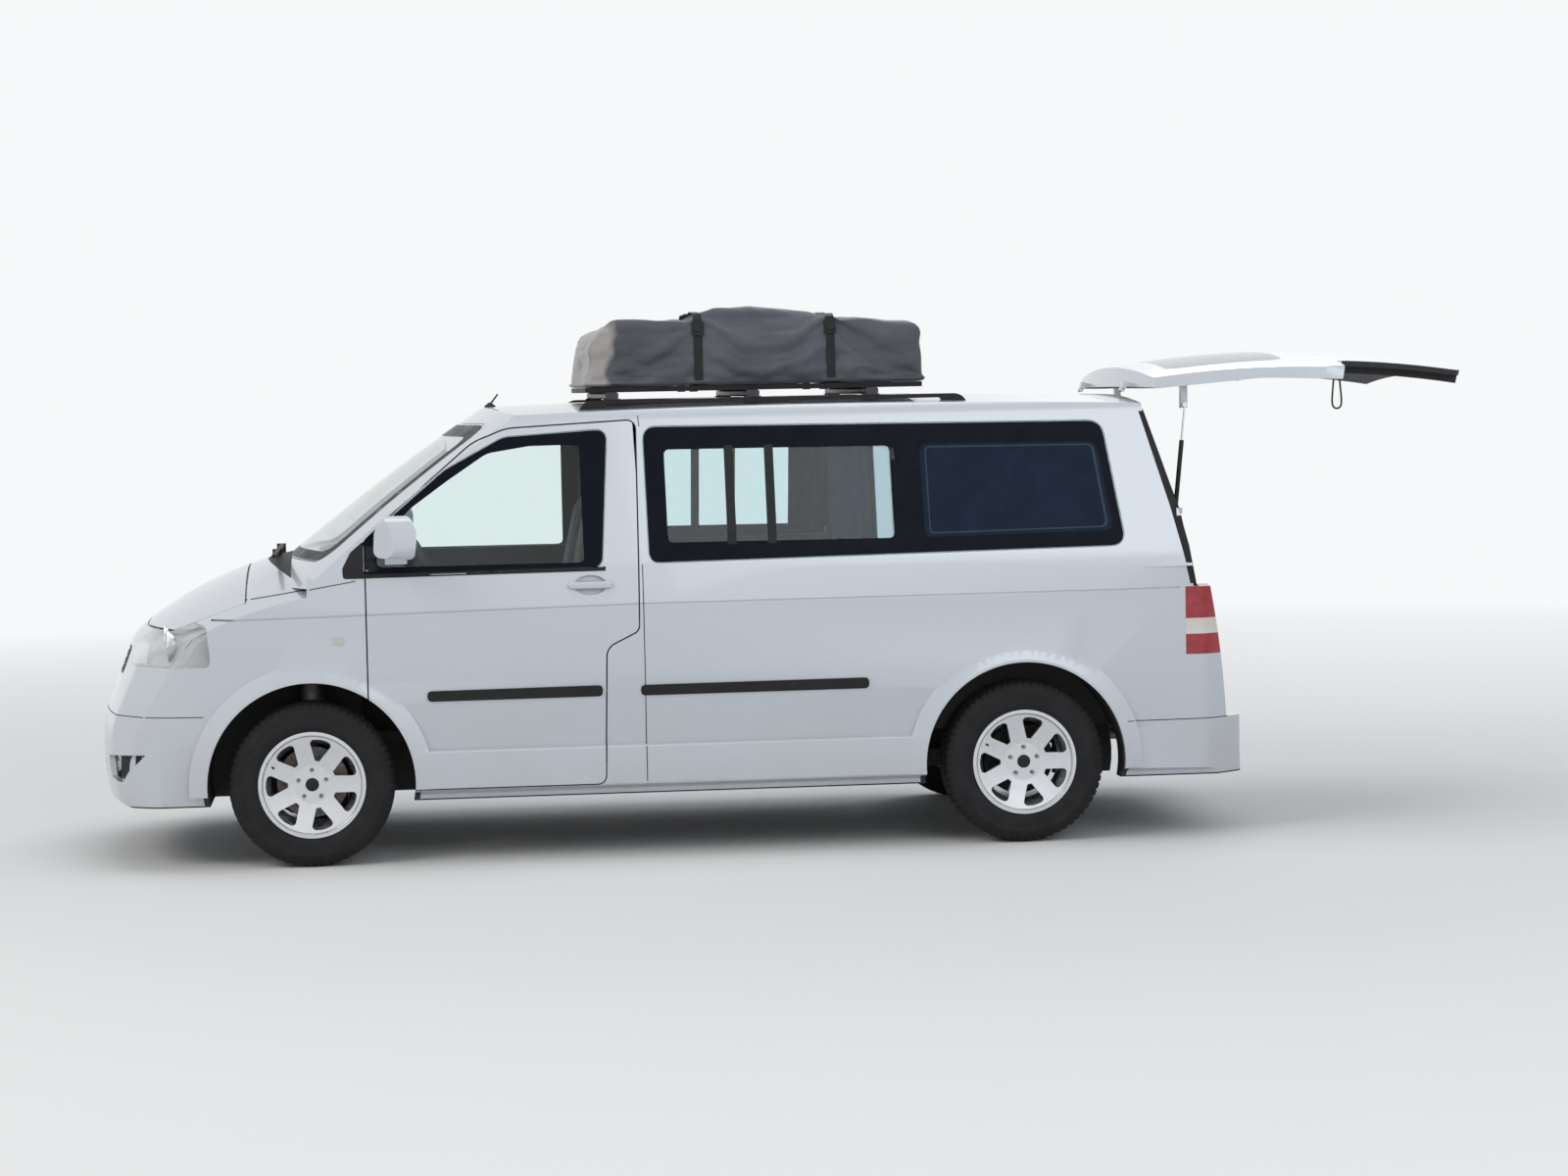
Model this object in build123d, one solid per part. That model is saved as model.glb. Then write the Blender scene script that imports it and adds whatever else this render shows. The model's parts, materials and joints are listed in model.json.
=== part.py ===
from build123d import *
import os
from math import cos, radians, sin, sqrt

# Camper van, millimetres. X forward, Y to the left, Z up, Z = 0 at the floor.
# Sizes are written in a frame whose X = 0 lies midway between the axles;
# ORIGIN_X moves the finished pieces so that X = 0 is the middle of the whole length.

# Driving sizes of the vehicle
WHEELBASE = 3000.0
TRACK = 1628.0
BODY_WIDTH = 1904.0
BODY_HEIGHT = 1915.0
FRONT_REACH = 2412.0
REAR_REACH = 2475.0
ORIGIN_X = 540.0

# Axles and wheels
FRONT_AXLE_X = WHEELBASE / 2
REAR_AXLE_X = -WHEELBASE / 2
TYRE_RADIUS = 343.0
TYRE_WIDTH = 215.0
RIM_RADIUS = 222.0
RIM_WIDTH = 190.0
AXLE_Z = TYRE_RADIUS
WHEEL_Y = TRACK / 2
SPOKES = 7
LUG_HOLES = 5
LUG_CIRCLE = 60.0
HUB_RADIUS = 42.0

# Body panels
HALF = BODY_WIDTH / 2
FLARE_OUT = 10.0
SIDE_HALF = HALF - FLARE_OUT
WALL = 62.0
GLASS = 6.0
GLASS_SEAT = 0.3
GLASS_FLANGE = 24.0
SEAM = 5.0
PANEL_SKIN = 24.0
DOOR_SHUT = 6.0
FLOOR_TOP = 520.0
FLOOR_THICK = 45.0
SILL_Z = 285.0
FIREWALL_X = 1330.0
FIREWALL = 40.0
COWL_Z = 1180.0
SILL_OUT = 4.0
BELT_LINE = [(1898, 1035), (131, 1062), (-2179, 1068)]
BELT_WIDTH = 7.0
ARCH_RADIUS = 428.0
ARCH_FLARE = 105.0
FRONT_WELL_DEPTH = 450.0
BAY_HALF = 470.0
REAR_WELL_DEPTH = 260.0

# Side doors, seen from the side: x, z and corner radius
DOOR_FRONT_X = 1262.0
DOOR_HINGE = (1250.0, 950.0)
DOOR_REACH = 1136.0
DOOR_OUTLINE = [
    (DOOR_FRONT_X, 640, 0),
    (DOOR_FRONT_X, 1352, 30),
    (1120, 1482, 400),
    (800, 1750, 260),
    (660, 1806, 200),
    (111, 1832, 40),
    (125, 947, 40),
    (263, 880, 60),
    (277, 308, 40),
    (1085, 308, 0),
]
DOOR_WINDOW = [
    (1318, 1206, 25),
    (1306, 1312, 25),
    (920, 1636, 300),
    (672, 1768, 130),
    (234, 1794, 45),
    (274, 1214, 45),
]
HANDLE_X = 328.0
HANDLE_Z = 1145.0
HANDLE_IN_Y = SIDE_HALF - 30
HANDLE_SIZE = (186.0, 38.0, 30.0)
HANDLE_RECESS = (136.0, 84.0)
MIRROR_SIDE = [(1222, 1290, 30), (1216, 1400, 60), (1160, 1460, 50), (1078, 1464, 40), (1044, 1396, 60), (1054, 1278, 25)]
MIRROR_FRONT = [(956, 1300, 25), (962, 1440, 50), (1150, 1466, 60), (1172, 1300, 50), (1120, 1274, 60)]
MIRROR_PLAN = [(1040, 950, 10), (1040, 1174, 20), (1140, 1170, 70), (1224, 1090, 80), (1226, 950, 20)]
MIRROR_ARM = (1085, 1175, 868, 1010, 1256, 1304)
STRIKER_X = 255.0
STRIKER_Z = 700.0
STRIKER_RADIUS = 6.0
SLIDING_DOOR = [(118, 308, 45), (104, 1832, 45), (-938, 1842, 45), (-985, 308, 60)]
SIDE_WINDOW = [(79, 1228, 45), (89, 1800, 55), (-1878, 1786, 70), (-1955, 1252, 55)]
WINDOW_DIVIDER_X = -955.0
DIVIDER = 130.0

# Tailgate: upper part wraps round the corners, lower part lies between the lamps
GATE_OPEN = 77.4
GATE_HINGE_X = -2043.0
GATE_HINGE_Z = 1912.0
GATE_BOTTOM_Z = 520.0
GATE_STEP_Z = 1078.0
GATE_SHUT = 7.0
GATE_FRAME_HALF = 682.0
GATE_SIDE = [
    (GATE_HINGE_X - 7, 2000, 0),
    (-2066, 1822, 0),
    (-2197, 1405, 900),
    (-2257, GATE_STEP_Z, 0),
    (-2700, GATE_STEP_Z, 0),
    (-2700, 2000, 0),
]
GATE_LOWER = [(742, GATE_STEP_Z + 60, 0), (752, GATE_BOTTOM_Z, 60)]
GATE_WINDOW = [(632, 1768, 70), (686, 1290, 70)]

# Gas struts between the rear pillars and the tailgate
STRUT_Y = 704.0
STRUT_FOOT = (-2214.0, 1392.0)
STRUT_HEAD = (-2262.0, 1842.0)
TUBE_RADIUS = 10.0
ROD_RADIUS = 4.5
TUBE_LENGTH = 300.0
STUD_RADIUS = 5.0
STUD_CLEARANCE = 0.3

# Bonnet, bumpers, lamps and grille
BONNET_SHUT = 6.0
BONNET_LOW_Z = 985.0
BONNET_LEDGE = 26.0
COWL_DEPTH = 78.0
COWL_HALF = 770.0
BONNET_PLAN = [(1380, 800, 60), (1885, 812, 500), (2110, 660, 160), (2200, 300, 500)]
BUMPER_TOP_Z = 640.0
BUMPER_REAR_X = 1885.0
REAR_BUMPER_TOP = 505.0
REAR_BUMPER_X = -1935.0
SIDE_SEAM_X = 115.0
ROOF_SEAM_Z = 1850.0
ROOF_FRONT_X = 600.0
LAMP_INNER_Y = 440.0
HEADLAMP_SIDE = [(2500, 850, 0), (1900, 842, 30), (1915, 1012, 30), (2170, 1045, 40), (2500, 1000, 0)]
HEADLAMP_FRONT = [(1000, 780, 0), (1000, 1080, 0), (LAMP_INNER_Y, 1080, 0), (LAMP_INNER_Y + 20, 930, 90), (600, 835, 80), (640, 780, 0)]
INTAKE_FRONT = [(395, 478, 30), (440, 338, 50)]
INTAKE_SLATS = (372.0, 408.0, 444.0)
INTAKE_SLAT = 12.0
CORNER_SLOT = [(596, 374, 20), (586, 466, 20), (852, 484, 4), (770, 366, 20)]
TAIL_LAMP_X = -2205.0
TAIL_LAMP_Y = 762.0
TAIL_LAMP_Z = (782.0, 1070.0)
GRILLE_FRONT = [(400, 905, 30), (420, 790, 30)]
GRILLE_RIM = 8.0
GRILLE_SLOTS = 3
GRILLE_PITCH = 33.0
GRILLE_SLOT = 20.0
GRILLE_SLOT_HALF = 370.0

# Cabin
DASHBOARD = [
    (FIREWALL_X - FIREWALL, 800, 0),
    (FIREWALL_X - FIREWALL, COWL_Z, 0),
    (1540, COWL_Z, 0),
    (1520, 1204, 0),
    (1200, 1222, 80),
    (1060, 1150, 80),
    (1090, 880, 60),
    (1200, 800, 40),
]
DASH_HALF = 765.0
STEERING_CENTRE = (960.0, 380.0, 1150.0)
STEERING_TILT = -62.0
STEERING_RADIUS = 190.0
STEERING_RIM = 15.0
FRONT_SEAT_X = 560.0
BENCH_X = -980.0

# Running gear
ENGINE_BOX = (1400, 2060, -380, 380, 290, 980)
BALL_Y = 700.0
BALL_Z = 246.0
KING_LEAN = 100.0
BALL_RADIUS = 20.0
DISC_RADIUS = 148.0
BEAD_RADIUS = 203.0
SPOKE_FACE = 70.0
HUB_FACE = 44.0
HUB_FACE_Y = WHEEL_Y + HUB_FACE - GLASS_SEAT
STRUT_OVERLAP = 150.0
HINGE_Y = (-450.0, 450.0)
HINGE_PIN = 5.0
PULL_LOOP = (-2985.0, 520.0, 1977.6, 1815.0)
WIPER_Y = (-500.0, 60.0)
CORNERS = (
    ("front_left", FRONT_AXLE_X, 1),
    ("front_right", FRONT_AXLE_X, -1),
    ("rear_left", REAR_AXLE_X, 1),
    ("rear_right", REAR_AXLE_X, -1),
)

# Roof load: rails, crossbars, base and folded roof tent in its travel cover
RAIL_Y = 655.0
RAIL_X = (359.0, -1333.0)
RAIL_WIDTH = 34.0
RAIL_BAR = 17.0
RAIL_FEET = (300.0, -487.0, -1274.0)
RAIL_FOOT = 90.0
BARS_X = (205.0, -395.0, -905.0)
BAR_SIZE = (55.0, 28.0)
BAR_REACH = 690.0
RAIL_TOP = 1912.0
TENT_X = (330.0, -1160.0)
TENT_HALF = 590.0
TENT_TOP = 2265.0
TENT_HUMP_X = (-235.0, -700.0)
TENT_HUMP = 50.0


def outline(rows):
    """Closed face from rows of a, b, corner radius."""
    points = [(a, b) for a, b, radius in rows]
    return make_face(FilletPolyline(*points, radius=[radius for a, b, radius in rows], close=True))


def mirrored(rows):
    """Half outline given on the +a side, completed on the -a side."""
    return rows + [(-a, b, radius) for a, b, radius in reversed(rows)]


def along_y(face, low, high):
    return Pos(0, low, 0) * extrude(Plane.XZ * face, low - high)


def along_x(face, low, high):
    return Pos(low, 0, 0) * extrude(Plane.YZ * face, high - low)


def along_z(face, low, high):
    return Pos(0, 0, low) * extrude(face, high - low)


def block(x0, x1, y0, y1, z0, z1):
    size = (abs(x1 - x0), abs(y1 - y0), abs(z1 - z0))
    return Pos((x0 + x1) / 2, (y0 + y1) / 2, (z0 + z1) / 2) * Box(*size)


def both(shape):
    return [shape, mirror(shape, Plane.XZ)]


def rod_between(start, end, radius):
    line = Line(start, end)
    return sweep(Plane(origin=start, z_dir=line % 0) * Circle(radius), path=line)


def solid_of(shape):
    """The largest solid of a cut, so that no crumb is written."""
    return max(shape.solids(), key=lambda s: s.volume)


# Crowned surfaces: each is a patch of a large barrel lying on its side.
# point x, y, z on it, azimuth and climb of its outward normal, radius upwards, radius across, half width
CROWNS = {
    "windscreen": (1216, 0, 1558, 0, 53.6, 8700, 3250, 1000),
    "bonnet": (1895, 0, 1178, 0, 66.5, 1560, 2700, 1000),
    "roof": (-700, 0, BODY_HEIGHT, 0, 90.0, 42000, 7600, 1000),
    "gate": (-2348, 0, 1270, 0, 166.6, 4200, 5600, 1000),
    "corner": (2150, 820, 800, 40, 18.0, 1500, 1600, 600),
}


def barrel(name, inset):
    x, y, z, azimuth, climb, radius, across, half = CROWNS[name]
    out, up = cos(radians(climb)), sin(radians(climb))
    drop = across - sqrt(across**2 - half**2)
    crown = radius - inset
    top = ThreePointArc((-half, crown - drop), (0, crown), (half, crown - drop))
    sides = Polyline((half, crown - drop), (half, 1), (-half, 1), (-half, crown - drop))
    shape = revolve(Plane.YZ * make_face([top, sides]), Axis((0, 0, 0), (0, 1, 0)))
    return Pos(x, y, z) * Rot(0, 0, azimuth) * Pos(-out * radius, 0, -up * radius) * shape


# Outer outlines of the body: a, b, corner radius
SECTION = [
    (870, 240, 0),
    (SIDE_HALF - 26, 430, 150),
    (SIDE_HALF, 760, 900),
    (SIDE_HALF - 4, 1062, 200),
    (SIDE_HALF - 28, 1230, 300),
    (762, 1868, 95),
    (500, 2010, 0),
]
PLAN = [
    (2600, 300, 0),
    (2318, 760, 190),
    (2100, 905, 500),
    (1500, SIDE_HALF + 1, 0),
    (-1700, SIDE_HALF + 1, 900),
    (-2300, 905, 110),
    (-REAR_REACH, 780, 90),
]
FLOOR_Z = 262.0
WAIST_Z = 1330.0
NOSE_BACK = -400.0
NOSE_RADIUS = 2900.0
NOSE = [
    (FRONT_REACH - 25, FLOOR_Z, 40),
    (FRONT_REACH, 440, 500),
    (FRONT_REACH - 6, 596, 400),
    (2320, 810, 300),
    (2268, 945, 140),
    (2110, 1095, 160),
    (1700, WAIST_Z, 0),
    (NOSE_BACK, WAIST_Z, 0),
    (NOSE_BACK, FLOOR_Z, 0),
]
# Region round each front corner of the body that the corner crown trims: from x, from y
CORNER_FROM = (1900.0, 450.0)


def flares(radius_cut):
    rings = []
    for x in (FRONT_AXLE_X, REAR_AXLE_X):
        profile = outline(
            [
                (radius_cut, SIDE_HALF - 30, 0),
                (radius_cut, HALF, 0),
                (radius_cut + 40, HALF - 1, 30),
                (radius_cut + ARCH_FLARE, SIDE_HALF - 6, 0),
                (radius_cut + ARCH_FLARE, SIDE_HALF - 30, 0),
            ]
        )
        ring = Pos(x, 0, AXLE_Z) * revolve(profile, Axis.Y)
        rings += both(ring & block(-3000, 3000, 0, 1000, 309, 1200))
    return rings


def plan_face():
    return outline(PLAN + [(x, -y, r) for x, y, r in reversed(PLAN)])


def sill_ledges():
    """The step that stands out along the bottom of each side, below a groove."""
    profile = outline(
        [
            (SIDE_HALF - 40, 492, 0),
            (SIDE_HALF - SILL_OUT, 468, 8),
            (SIDE_HALF - SILL_OUT - 2, 306, 14),
            (SIDE_HALF - 60, SILL_Z, 0),
        ]
    )
    return both(along_x(profile, -2400, FRONT_AXLE_X - 300) & along_z(plan_face(), 200, 600))


def form(inset):
    """The whole body as one block, its surface moved in by inset."""
    section, plan, nose = outline(mirrored(SECTION)), plan_face(), outline(NOSE)
    if inset:
        section, plan, nose = (offset(face, -inset) for face in (section, plan, nose))
    hull = along_x(section, -2600, 2600)
    nose_axis = FRONT_REACH - NOSE_RADIUS
    front = Pos(nose_axis, 0, 0) * revolve(Plane.XZ * (Pos(-nose_axis, 0) * nose), Axis.Z)
    front = front + block(-2600, 900, -1000, 1000, FLOOR_Z + inset, WAIST_Z - inset)
    lower = hull & along_z(plan, 200, WAIST_Z) & front
    from_x, from_y = CORNER_FROM
    corner = barrel("corner", inset) + block(-2600, from_x, -1000, 1000, 200, 1400)
    for side in both(corner + block(-2600, 2600, -1000, from_y, 200, 1400)):
        lower = lower & side
    lower = lower & (barrel("bonnet", inset) + block(-2600, 1500, -1000, 1000, 200, 1200))
    upper = hull & block(-2600, 1760, -1000, 1000, 1160, 2100) & barrel("windscreen", inset)
    upper = upper & barrel("roof", inset)
    behind = block(-2600, 0, -1000, 1000, 200, REAR_BUMPER_TOP - inset)
    return (lower + upper) & (barrel("gate", inset) + block(0, 2600, -1000, 1000, 200, 2100) + behind)


def write(name, *shapes):
    solids = [Pos(ORIGIN_X, 0, 0) * s for shape in shapes for s in shape.solids()]
    export_step(solids[0] if len(solids) == 1 else Compound(solids), "parts/" + name + ".step")


def wall_prism(face):
    """A side outline carried through the left wall alone, clear of the floor and the dashboard."""
    low_wall = block(-2600, 2600, SIDE_HALF - WALL - 8, 1000, 200, 1160)
    high_wall = block(-2600, 2600, 600, 1000, 1160, 2100)
    return along_y(face, 600, 1000) & (low_wall + high_wall)


def prism_pair(face):
    left = wall_prism(face)
    return left, mirror(left, Plane.XZ)


def swing_gate(shape):
    """From the closed place to the open one, in which the van stands."""
    hinge = Pos(GATE_HINGE_X, 0, GATE_HINGE_Z)
    return hinge * Rot(0, GATE_OPEN, 0) * hinge.inverse() * shape


os.makedirs("parts", exist_ok=True)

# Body walls: outer form less the cabin, the engine bay, the wheel wells and the space below
outer = form(0)
for piece in flares(ARCH_RADIUS - 30) + sill_ledges():
    outer = outer + piece
inner = form(WALL)
glass_skin = outer - form(GLASS)
seat_skin = outer - form(GLASS + GLASS_SEAT)
core = form(PANEL_SKIN)
panel_skin = outer - core
ledge_skin = outer - form(PANEL_SKIN + GLASS_SEAT)
wall_skin = outer - inner
clear_form = form(-GLASS_SEAT)

cabin = inner & (
    block(-2600, FIREWALL_X - FIREWALL, -900, 900, FLOOR_TOP, 2100)
    + block(-2600, 1700, -900, 900, COWL_Z, 2100)
)
bay = inner & (
    block(FIREWALL_X, 2320, -BAY_HALF, BAY_HALF, 200, COWL_Z - 30)
    + block(FIREWALL_X, 2320, -860, 860, 810, COWL_Z - 30)
)
bay = bay + block(FIREWALL_X, 2250, -BAY_HALF, BAY_HALF, 200, 400)
bay = bay + (inner & block(FRONT_AXLE_X + ARCH_RADIUS + 32, 2330, -860, 860, 330, 1150))
underside = block(-2330, FIREWALL_X - FIREWALL, -790, 790, 200, FLOOR_TOP - FLOOR_THICK)
wells = []
for x, depth in ((FRONT_AXLE_X, FRONT_WELL_DEPTH), (REAR_AXLE_X, REAR_WELL_DEPTH)):
    drum = along_y(Pos(x, AXLE_Z) * Circle(ARCH_RADIUS), HALF - depth, 1000)
    wells += both(drum)
linings = [
    b
    for x, depth in ((REAR_AXLE_X, REAR_WELL_DEPTH),)
    for b in both(along_y(Pos(x, AXLE_Z) * Circle(ARCH_RADIUS + 22), HALF - depth - 22, 900))
]
cabin = cabin - linings[0] - linings[1]
shell = outer - cabin - bay - underside
for drum in wells:
    shell = shell - drum
belt = [(x, z + BELT_WIDTH / 2, 0) for x, z in BELT_LINE] + [(x, z - BELT_WIDTH / 2, 0) for x, z in reversed(BELT_LINE)]
for groove in both(along_y(outline(belt), 600, 1000) & glass_skin):
    shell = shell - groove

# Windscreen
screen_face = outline(mirrored([(640, 1822, 110), (800, 1262, 60)]))
screen_prism = along_x(screen_face, 500, 1800)
screen_pocket = barrel("windscreen", -20) - barrel("windscreen", GLASS + GLASS_SEAT)
windscreen = (barrel("windscreen", 0) - barrel("windscreen", GLASS)) & screen_prism & outer
shell = shell - (screen_pocket & along_x(offset(screen_face, 1.5), 500, 1800))
shell = shell - along_x(offset(screen_face, -GLASS_FLANGE), 900, 1800)

# Tailgate in its closed place, and its hole in the body
gate_upper = along_y(outline(GATE_SIDE), -1000, 1000)
gate_lower = along_x(outline(mirrored(GATE_LOWER)), -2600, -2100)
gate_zone = gate_upper + gate_lower
gate_grown = along_y(offset(outline(GATE_SIDE), GATE_SHUT), -1000, 1000)
gate_grown = gate_grown + along_x(offset(outline(mirrored(GATE_LOWER)), GATE_SHUT), -2600, -2100)
frame_zone = gate_zone & block(-2700, 0, -GATE_FRAME_HALF, GATE_FRAME_HALF, 0, 2100)
gate = (panel_skin & gate_zone) + (wall_skin & frame_zone)
gate_glass_face = outline(mirrored(GATE_WINDOW))
gate_glass = glass_skin & along_x(gate_glass_face, -2600, -2000)
gate = gate - (seat_skin & along_x(offset(gate_glass_face, 1.5), -2600, -2000))
gate = gate - along_x(offset(gate_glass_face, -GLASS_FLANGE), -2600, -1900)
shell = shell - gate_grown

# Front doors with their glass
door_face = outline(DOOR_OUTLINE)
door_glass_face = outline(DOOR_WINDOW)
fixed_corner = block(DOOR_FRONT_X, 1500, 0, 1000, 1100, 1500)
door_left = shell & wall_prism(offset(door_face, -DOOR_SHUT))
# The upper rear corner is trimmed round the hinge axis, so that it swings clear of the pillar
door_left = door_left & along_z(Pos(*DOOR_HINGE) * Circle(DOOR_REACH), 0, 2100)
door_glass_left = (glass_skin & along_y(door_glass_face, 500, 1000)) - fixed_corner
door_glass_left = door_glass_left & along_y(offset(door_face, -DOOR_SHUT - 2), 500, 1000)
door_left = door_left - (seat_skin & along_y(offset(door_glass_face, 1.5), 500, 1000))
door_left = door_left - along_y(offset(door_glass_face, -GLASS_FLANGE), 500, 1000)
for side in prism_pair(door_face):
    shell = shell - side

# Sliding door on the right, side panes on both sides
slide_face = outline(SLIDING_DOOR)
fit_half = GLASS_SEAT / 2
slide_right = (wall_prism(offset(slide_face, -SEAM / 2)) - core) + (wall_prism(offset(slide_face, -fit_half)) & core)
slide_grown = (wall_prism(offset(slide_face, SEAM / 2)) - core) + (wall_prism(offset(slide_face, fit_half)) & core)
slide_right, slide_grown = (mirror(s, Plane.XZ) for s in (slide_right, slide_grown))
window_face = outline(SIDE_WINDOW)
middle_face = window_face & Pos(WINDOW_DIVIDER_X + 1500, 1500) * Rectangle(3000, 3000)
rear_face = window_face & Pos(WINDOW_DIVIDER_X - 1500 - 4, 1500) * Rectangle(3000, 3000)
side_glass = []
for face in (middle_face, rear_face):
    for side in prism_pair(face):
        side_glass.append(solid_of(glass_skin & side))
for side in prism_pair(offset(window_face, 1.5)):
    shell = shell - (seat_skin & side)
left_x = (WINDOW_DIVIDER_X + DIVIDER / 2 + 1500, WINDOW_DIVIDER_X - DIVIDER / 2 - 1500)
for x in left_x:
    hole = offset(window_face, -GLASS_FLANGE) & Pos(x, 1500) * Rectangle(3000, 3000)
    for side in prism_pair(hole):
        shell = shell - side
sliding_door = solid_of(shell & slide_right)
shell = shell - slide_grown

# Bonnet on its ledge, and the cowl panel between it and the windscreen
bonnet_face = outline(BONNET_PLAN + [(x, -y, r) for x, y, r in reversed(BONNET_PLAN)])
ahead = block(1200, 2600, -1000, 1000, BONNET_LOW_Z, 1400)
bonnet_ahead = ahead - barrel("windscreen", -COWL_DEPTH - BONNET_SHUT)
bonnet = solid_of(panel_skin & along_z(offset(bonnet_face, -BONNET_SHUT), BONNET_LOW_Z + BONNET_SHUT, 1400) & bonnet_ahead)
cowl_zone = (ahead - barrel("windscreen", -GLASS_SEAT)) & barrel("windscreen", -COWL_DEPTH)
cowl_zone = cowl_zone & block(1200, 2600, -COWL_HALF, COWL_HALF, 1150, 1400)
cowl_panel = solid_of(panel_skin & cowl_zone)
bonnet_hole = along_z(bonnet_face, BONNET_LOW_Z, 1400) & (ahead - barrel("windscreen", -COWL_DEPTH))
ledge_hole = along_z(offset(bonnet_face, -BONNET_LEDGE), BONNET_LOW_Z - 60, 1400)
ledge_hole = ledge_hole & (block(1200, 2600, -1000, 1000, 200, 1400) - barrel("windscreen", -COWL_DEPTH - BONNET_LEDGE))
shell = shell - (bonnet_hole & ledge_skin) - ledge_hole - (cowl_zone & ledge_skin)

# Lamps, grille, bumpers and panels, each cut from the walls where the real joints run
lamp_side, lamp_front = outline(HEADLAMP_SIDE), outline(HEADLAMP_FRONT)
lamp_zone = along_y(lamp_side, 400, 1000) & along_x(lamp_front, 1800, 2600)
lamp_room = along_y(offset(lamp_side, GLASS_SEAT), 400, 1000) & along_x(offset(lamp_front, GLASS_SEAT), 1800, 2600)
headlamp = (wall_skin & lamp_zone) - bonnet_hole
headlamps = [solid_of(s) for s in both(headlamp)]
tail_lamp = wall_skin & block(-2600, TAIL_LAMP_X, TAIL_LAMP_Y, 1000, *TAIL_LAMP_Z)
tail_lamps = [solid_of(s) for s in both(tail_lamp)]
for zone in both(lamp_room):
    shell = shell - zone
tail_zone = block(-2600, TAIL_LAMP_X + GLASS_SEAT, TAIL_LAMP_Y, 1000, TAIL_LAMP_Z[0] - 1, TAIL_LAMP_Z[1] + 1)
for zone in both(tail_zone):
    shell = shell - zone
grille_zone = along_x(outline(mirrored(GRILLE_FRONT)), 2150, 2600)
grille = panel_skin & grille_zone
for row in range(GRILLE_SLOTS):
    z = GRILLE_FRONT[1][1] + GRILLE_RIM + (row + 0.5) * GRILLE_PITCH
    slot = Pos(0, z) * RectangleRounded(2 * GRILLE_SLOT_HALF, GRILLE_SLOT, GRILLE_SLOT / 2 - 1)
    grille = grille - along_x(slot, 2100, 2600)
grille = solid_of(grille)
shell = shell - grille_zone


def part_off(zone):
    """The piece of the walls inside a zone, and what is left of the walls."""
    return shell & zone, shell - zone


front_bumper, shell = part_off(block(BUMPER_REAR_X, 2600, -1000, 1000, 200, BUMPER_TOP_Z))
rear_bumper, shell = part_off(block(-2600, REAR_BUMPER_X, -1000, 1000, 200, REAR_BUMPER_TOP))
intake = outline(mirrored(INTAKE_FRONT))
for z in INTAKE_SLATS:
    intake = intake - Pos(0, z) * Rectangle(1000, INTAKE_SLAT)
front_bumper = front_bumper - (panel_skin & along_x(intake, 2200, 2600))
for pocket in both(panel_skin & along_x(outline(CORNER_SLOT), 2000, 2600)):
    front_bumper = front_bumper - pocket
wing_zone = block(DOOR_FRONT_X, 2600, 852, 1000, 500, 1190)
wing_zone = wing_zone + block(1960, 2600, 600, 1000, 500, 1190)
front_wings = []
for zone in both(wing_zone):
    piece, shell = part_off(zone)
    front_wings.append(solid_of(piece))
side_panels = []
side_zone = block(-2600, SIDE_SEAM_X, 500, 1000, FLOOR_TOP, ROOF_SEAM_Z)
side_zone = side_zone + block(-2600, SIDE_SEAM_X, 800, 1000, 200, FLOOR_TOP)
for zone in both(side_zone):
    piece, shell = part_off(zone)
    side_panels.append(piece)
roof_panel, shell = part_off(block(-2600, ROOF_FRONT_X, -1000, 1000, ROOF_SEAM_Z, 2100))

# Door mirrors and handles
STRIKER_SLOT = (STRIKER_Z - STRIKER_RADIUS - GLASS_SEAT, STRIKER_Z + STRIKER_RADIUS + GLASS_SEAT)
mirror_head = along_y(outline(MIRROR_SIDE), 900, 1200) & along_x(outline(MIRROR_FRONT), 1000, 1300)
mirror_head = mirror_head & along_z(outline(MIRROR_PLAN), 1200, 1500)
mirror_left = block(*MIRROR_ARM) + mirror_head - clear_form
handle_place = Pos(HANDLE_X, HANDLE_Z)
recess = panel_skin & along_y(handle_place * Ellipse(HANDLE_RECESS[0] / 2, HANDLE_RECESS[1] / 2), 800, 1000)
grip = along_y(handle_place * RectangleRounded(HANDLE_SIZE[0], HANDLE_SIZE[2], HANDLE_SIZE[2] / 2 - 1), 0, HANDLE_SIZE[1])
grip = fillet(grip.faces().sort_by(Axis.Y)[-1].edges(), 8)
door_left = solid_of(door_left) - recess + Pos(0, HANDLE_IN_Y, 0) * grip
striker = Pos(STRIKER_X, SIDE_HALF - WALL + 16, STRIKER_Z) * Rot(0, 90, 0) * Cylinder(STRIKER_RADIUS, 50)
slot = block(STRIKER_X, STRIKER_X + 60, SIDE_HALF - WALL - 10, SIDE_HALF - WALL + 16, *STRIKER_SLOT)
slot = slot + Pos(STRIKER_X + 30, SIDE_HALF - WALL + 16, STRIKER_Z) * Rot(0, 90, 0) * Cylinder(STRIKER_RADIUS + GLASS_SEAT, 60)
door_left = solid_of(door_left - slot)
for pin in both(striker):
    shell = shell + pin

# Dashboard, steering wheel and seats
dashboard = along_y(outline(DASHBOARD), -DASH_HALF, DASH_HALF) & barrel("windscreen", WALL + 4)
wheel_place = Pos(*STEERING_CENTRE) * Rot(0, STEERING_TILT, 0)
steering_wheel = Torus(STEERING_RADIUS, STEERING_RIM) + Cylinder(62, 44)
for turn in (90, 210, 330):
    steering_wheel = steering_wheel + Rot(0, 0, turn) * Pos(STEERING_RADIUS / 2, 0, 0) * Box(STEERING_RADIUS, 34, 16)
steering_wheel = steering_wheel + Pos(0, 0, -120) * Cylinder(36, 220)
steering_wheel = wheel_place * steering_wheel - dashboard


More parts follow.
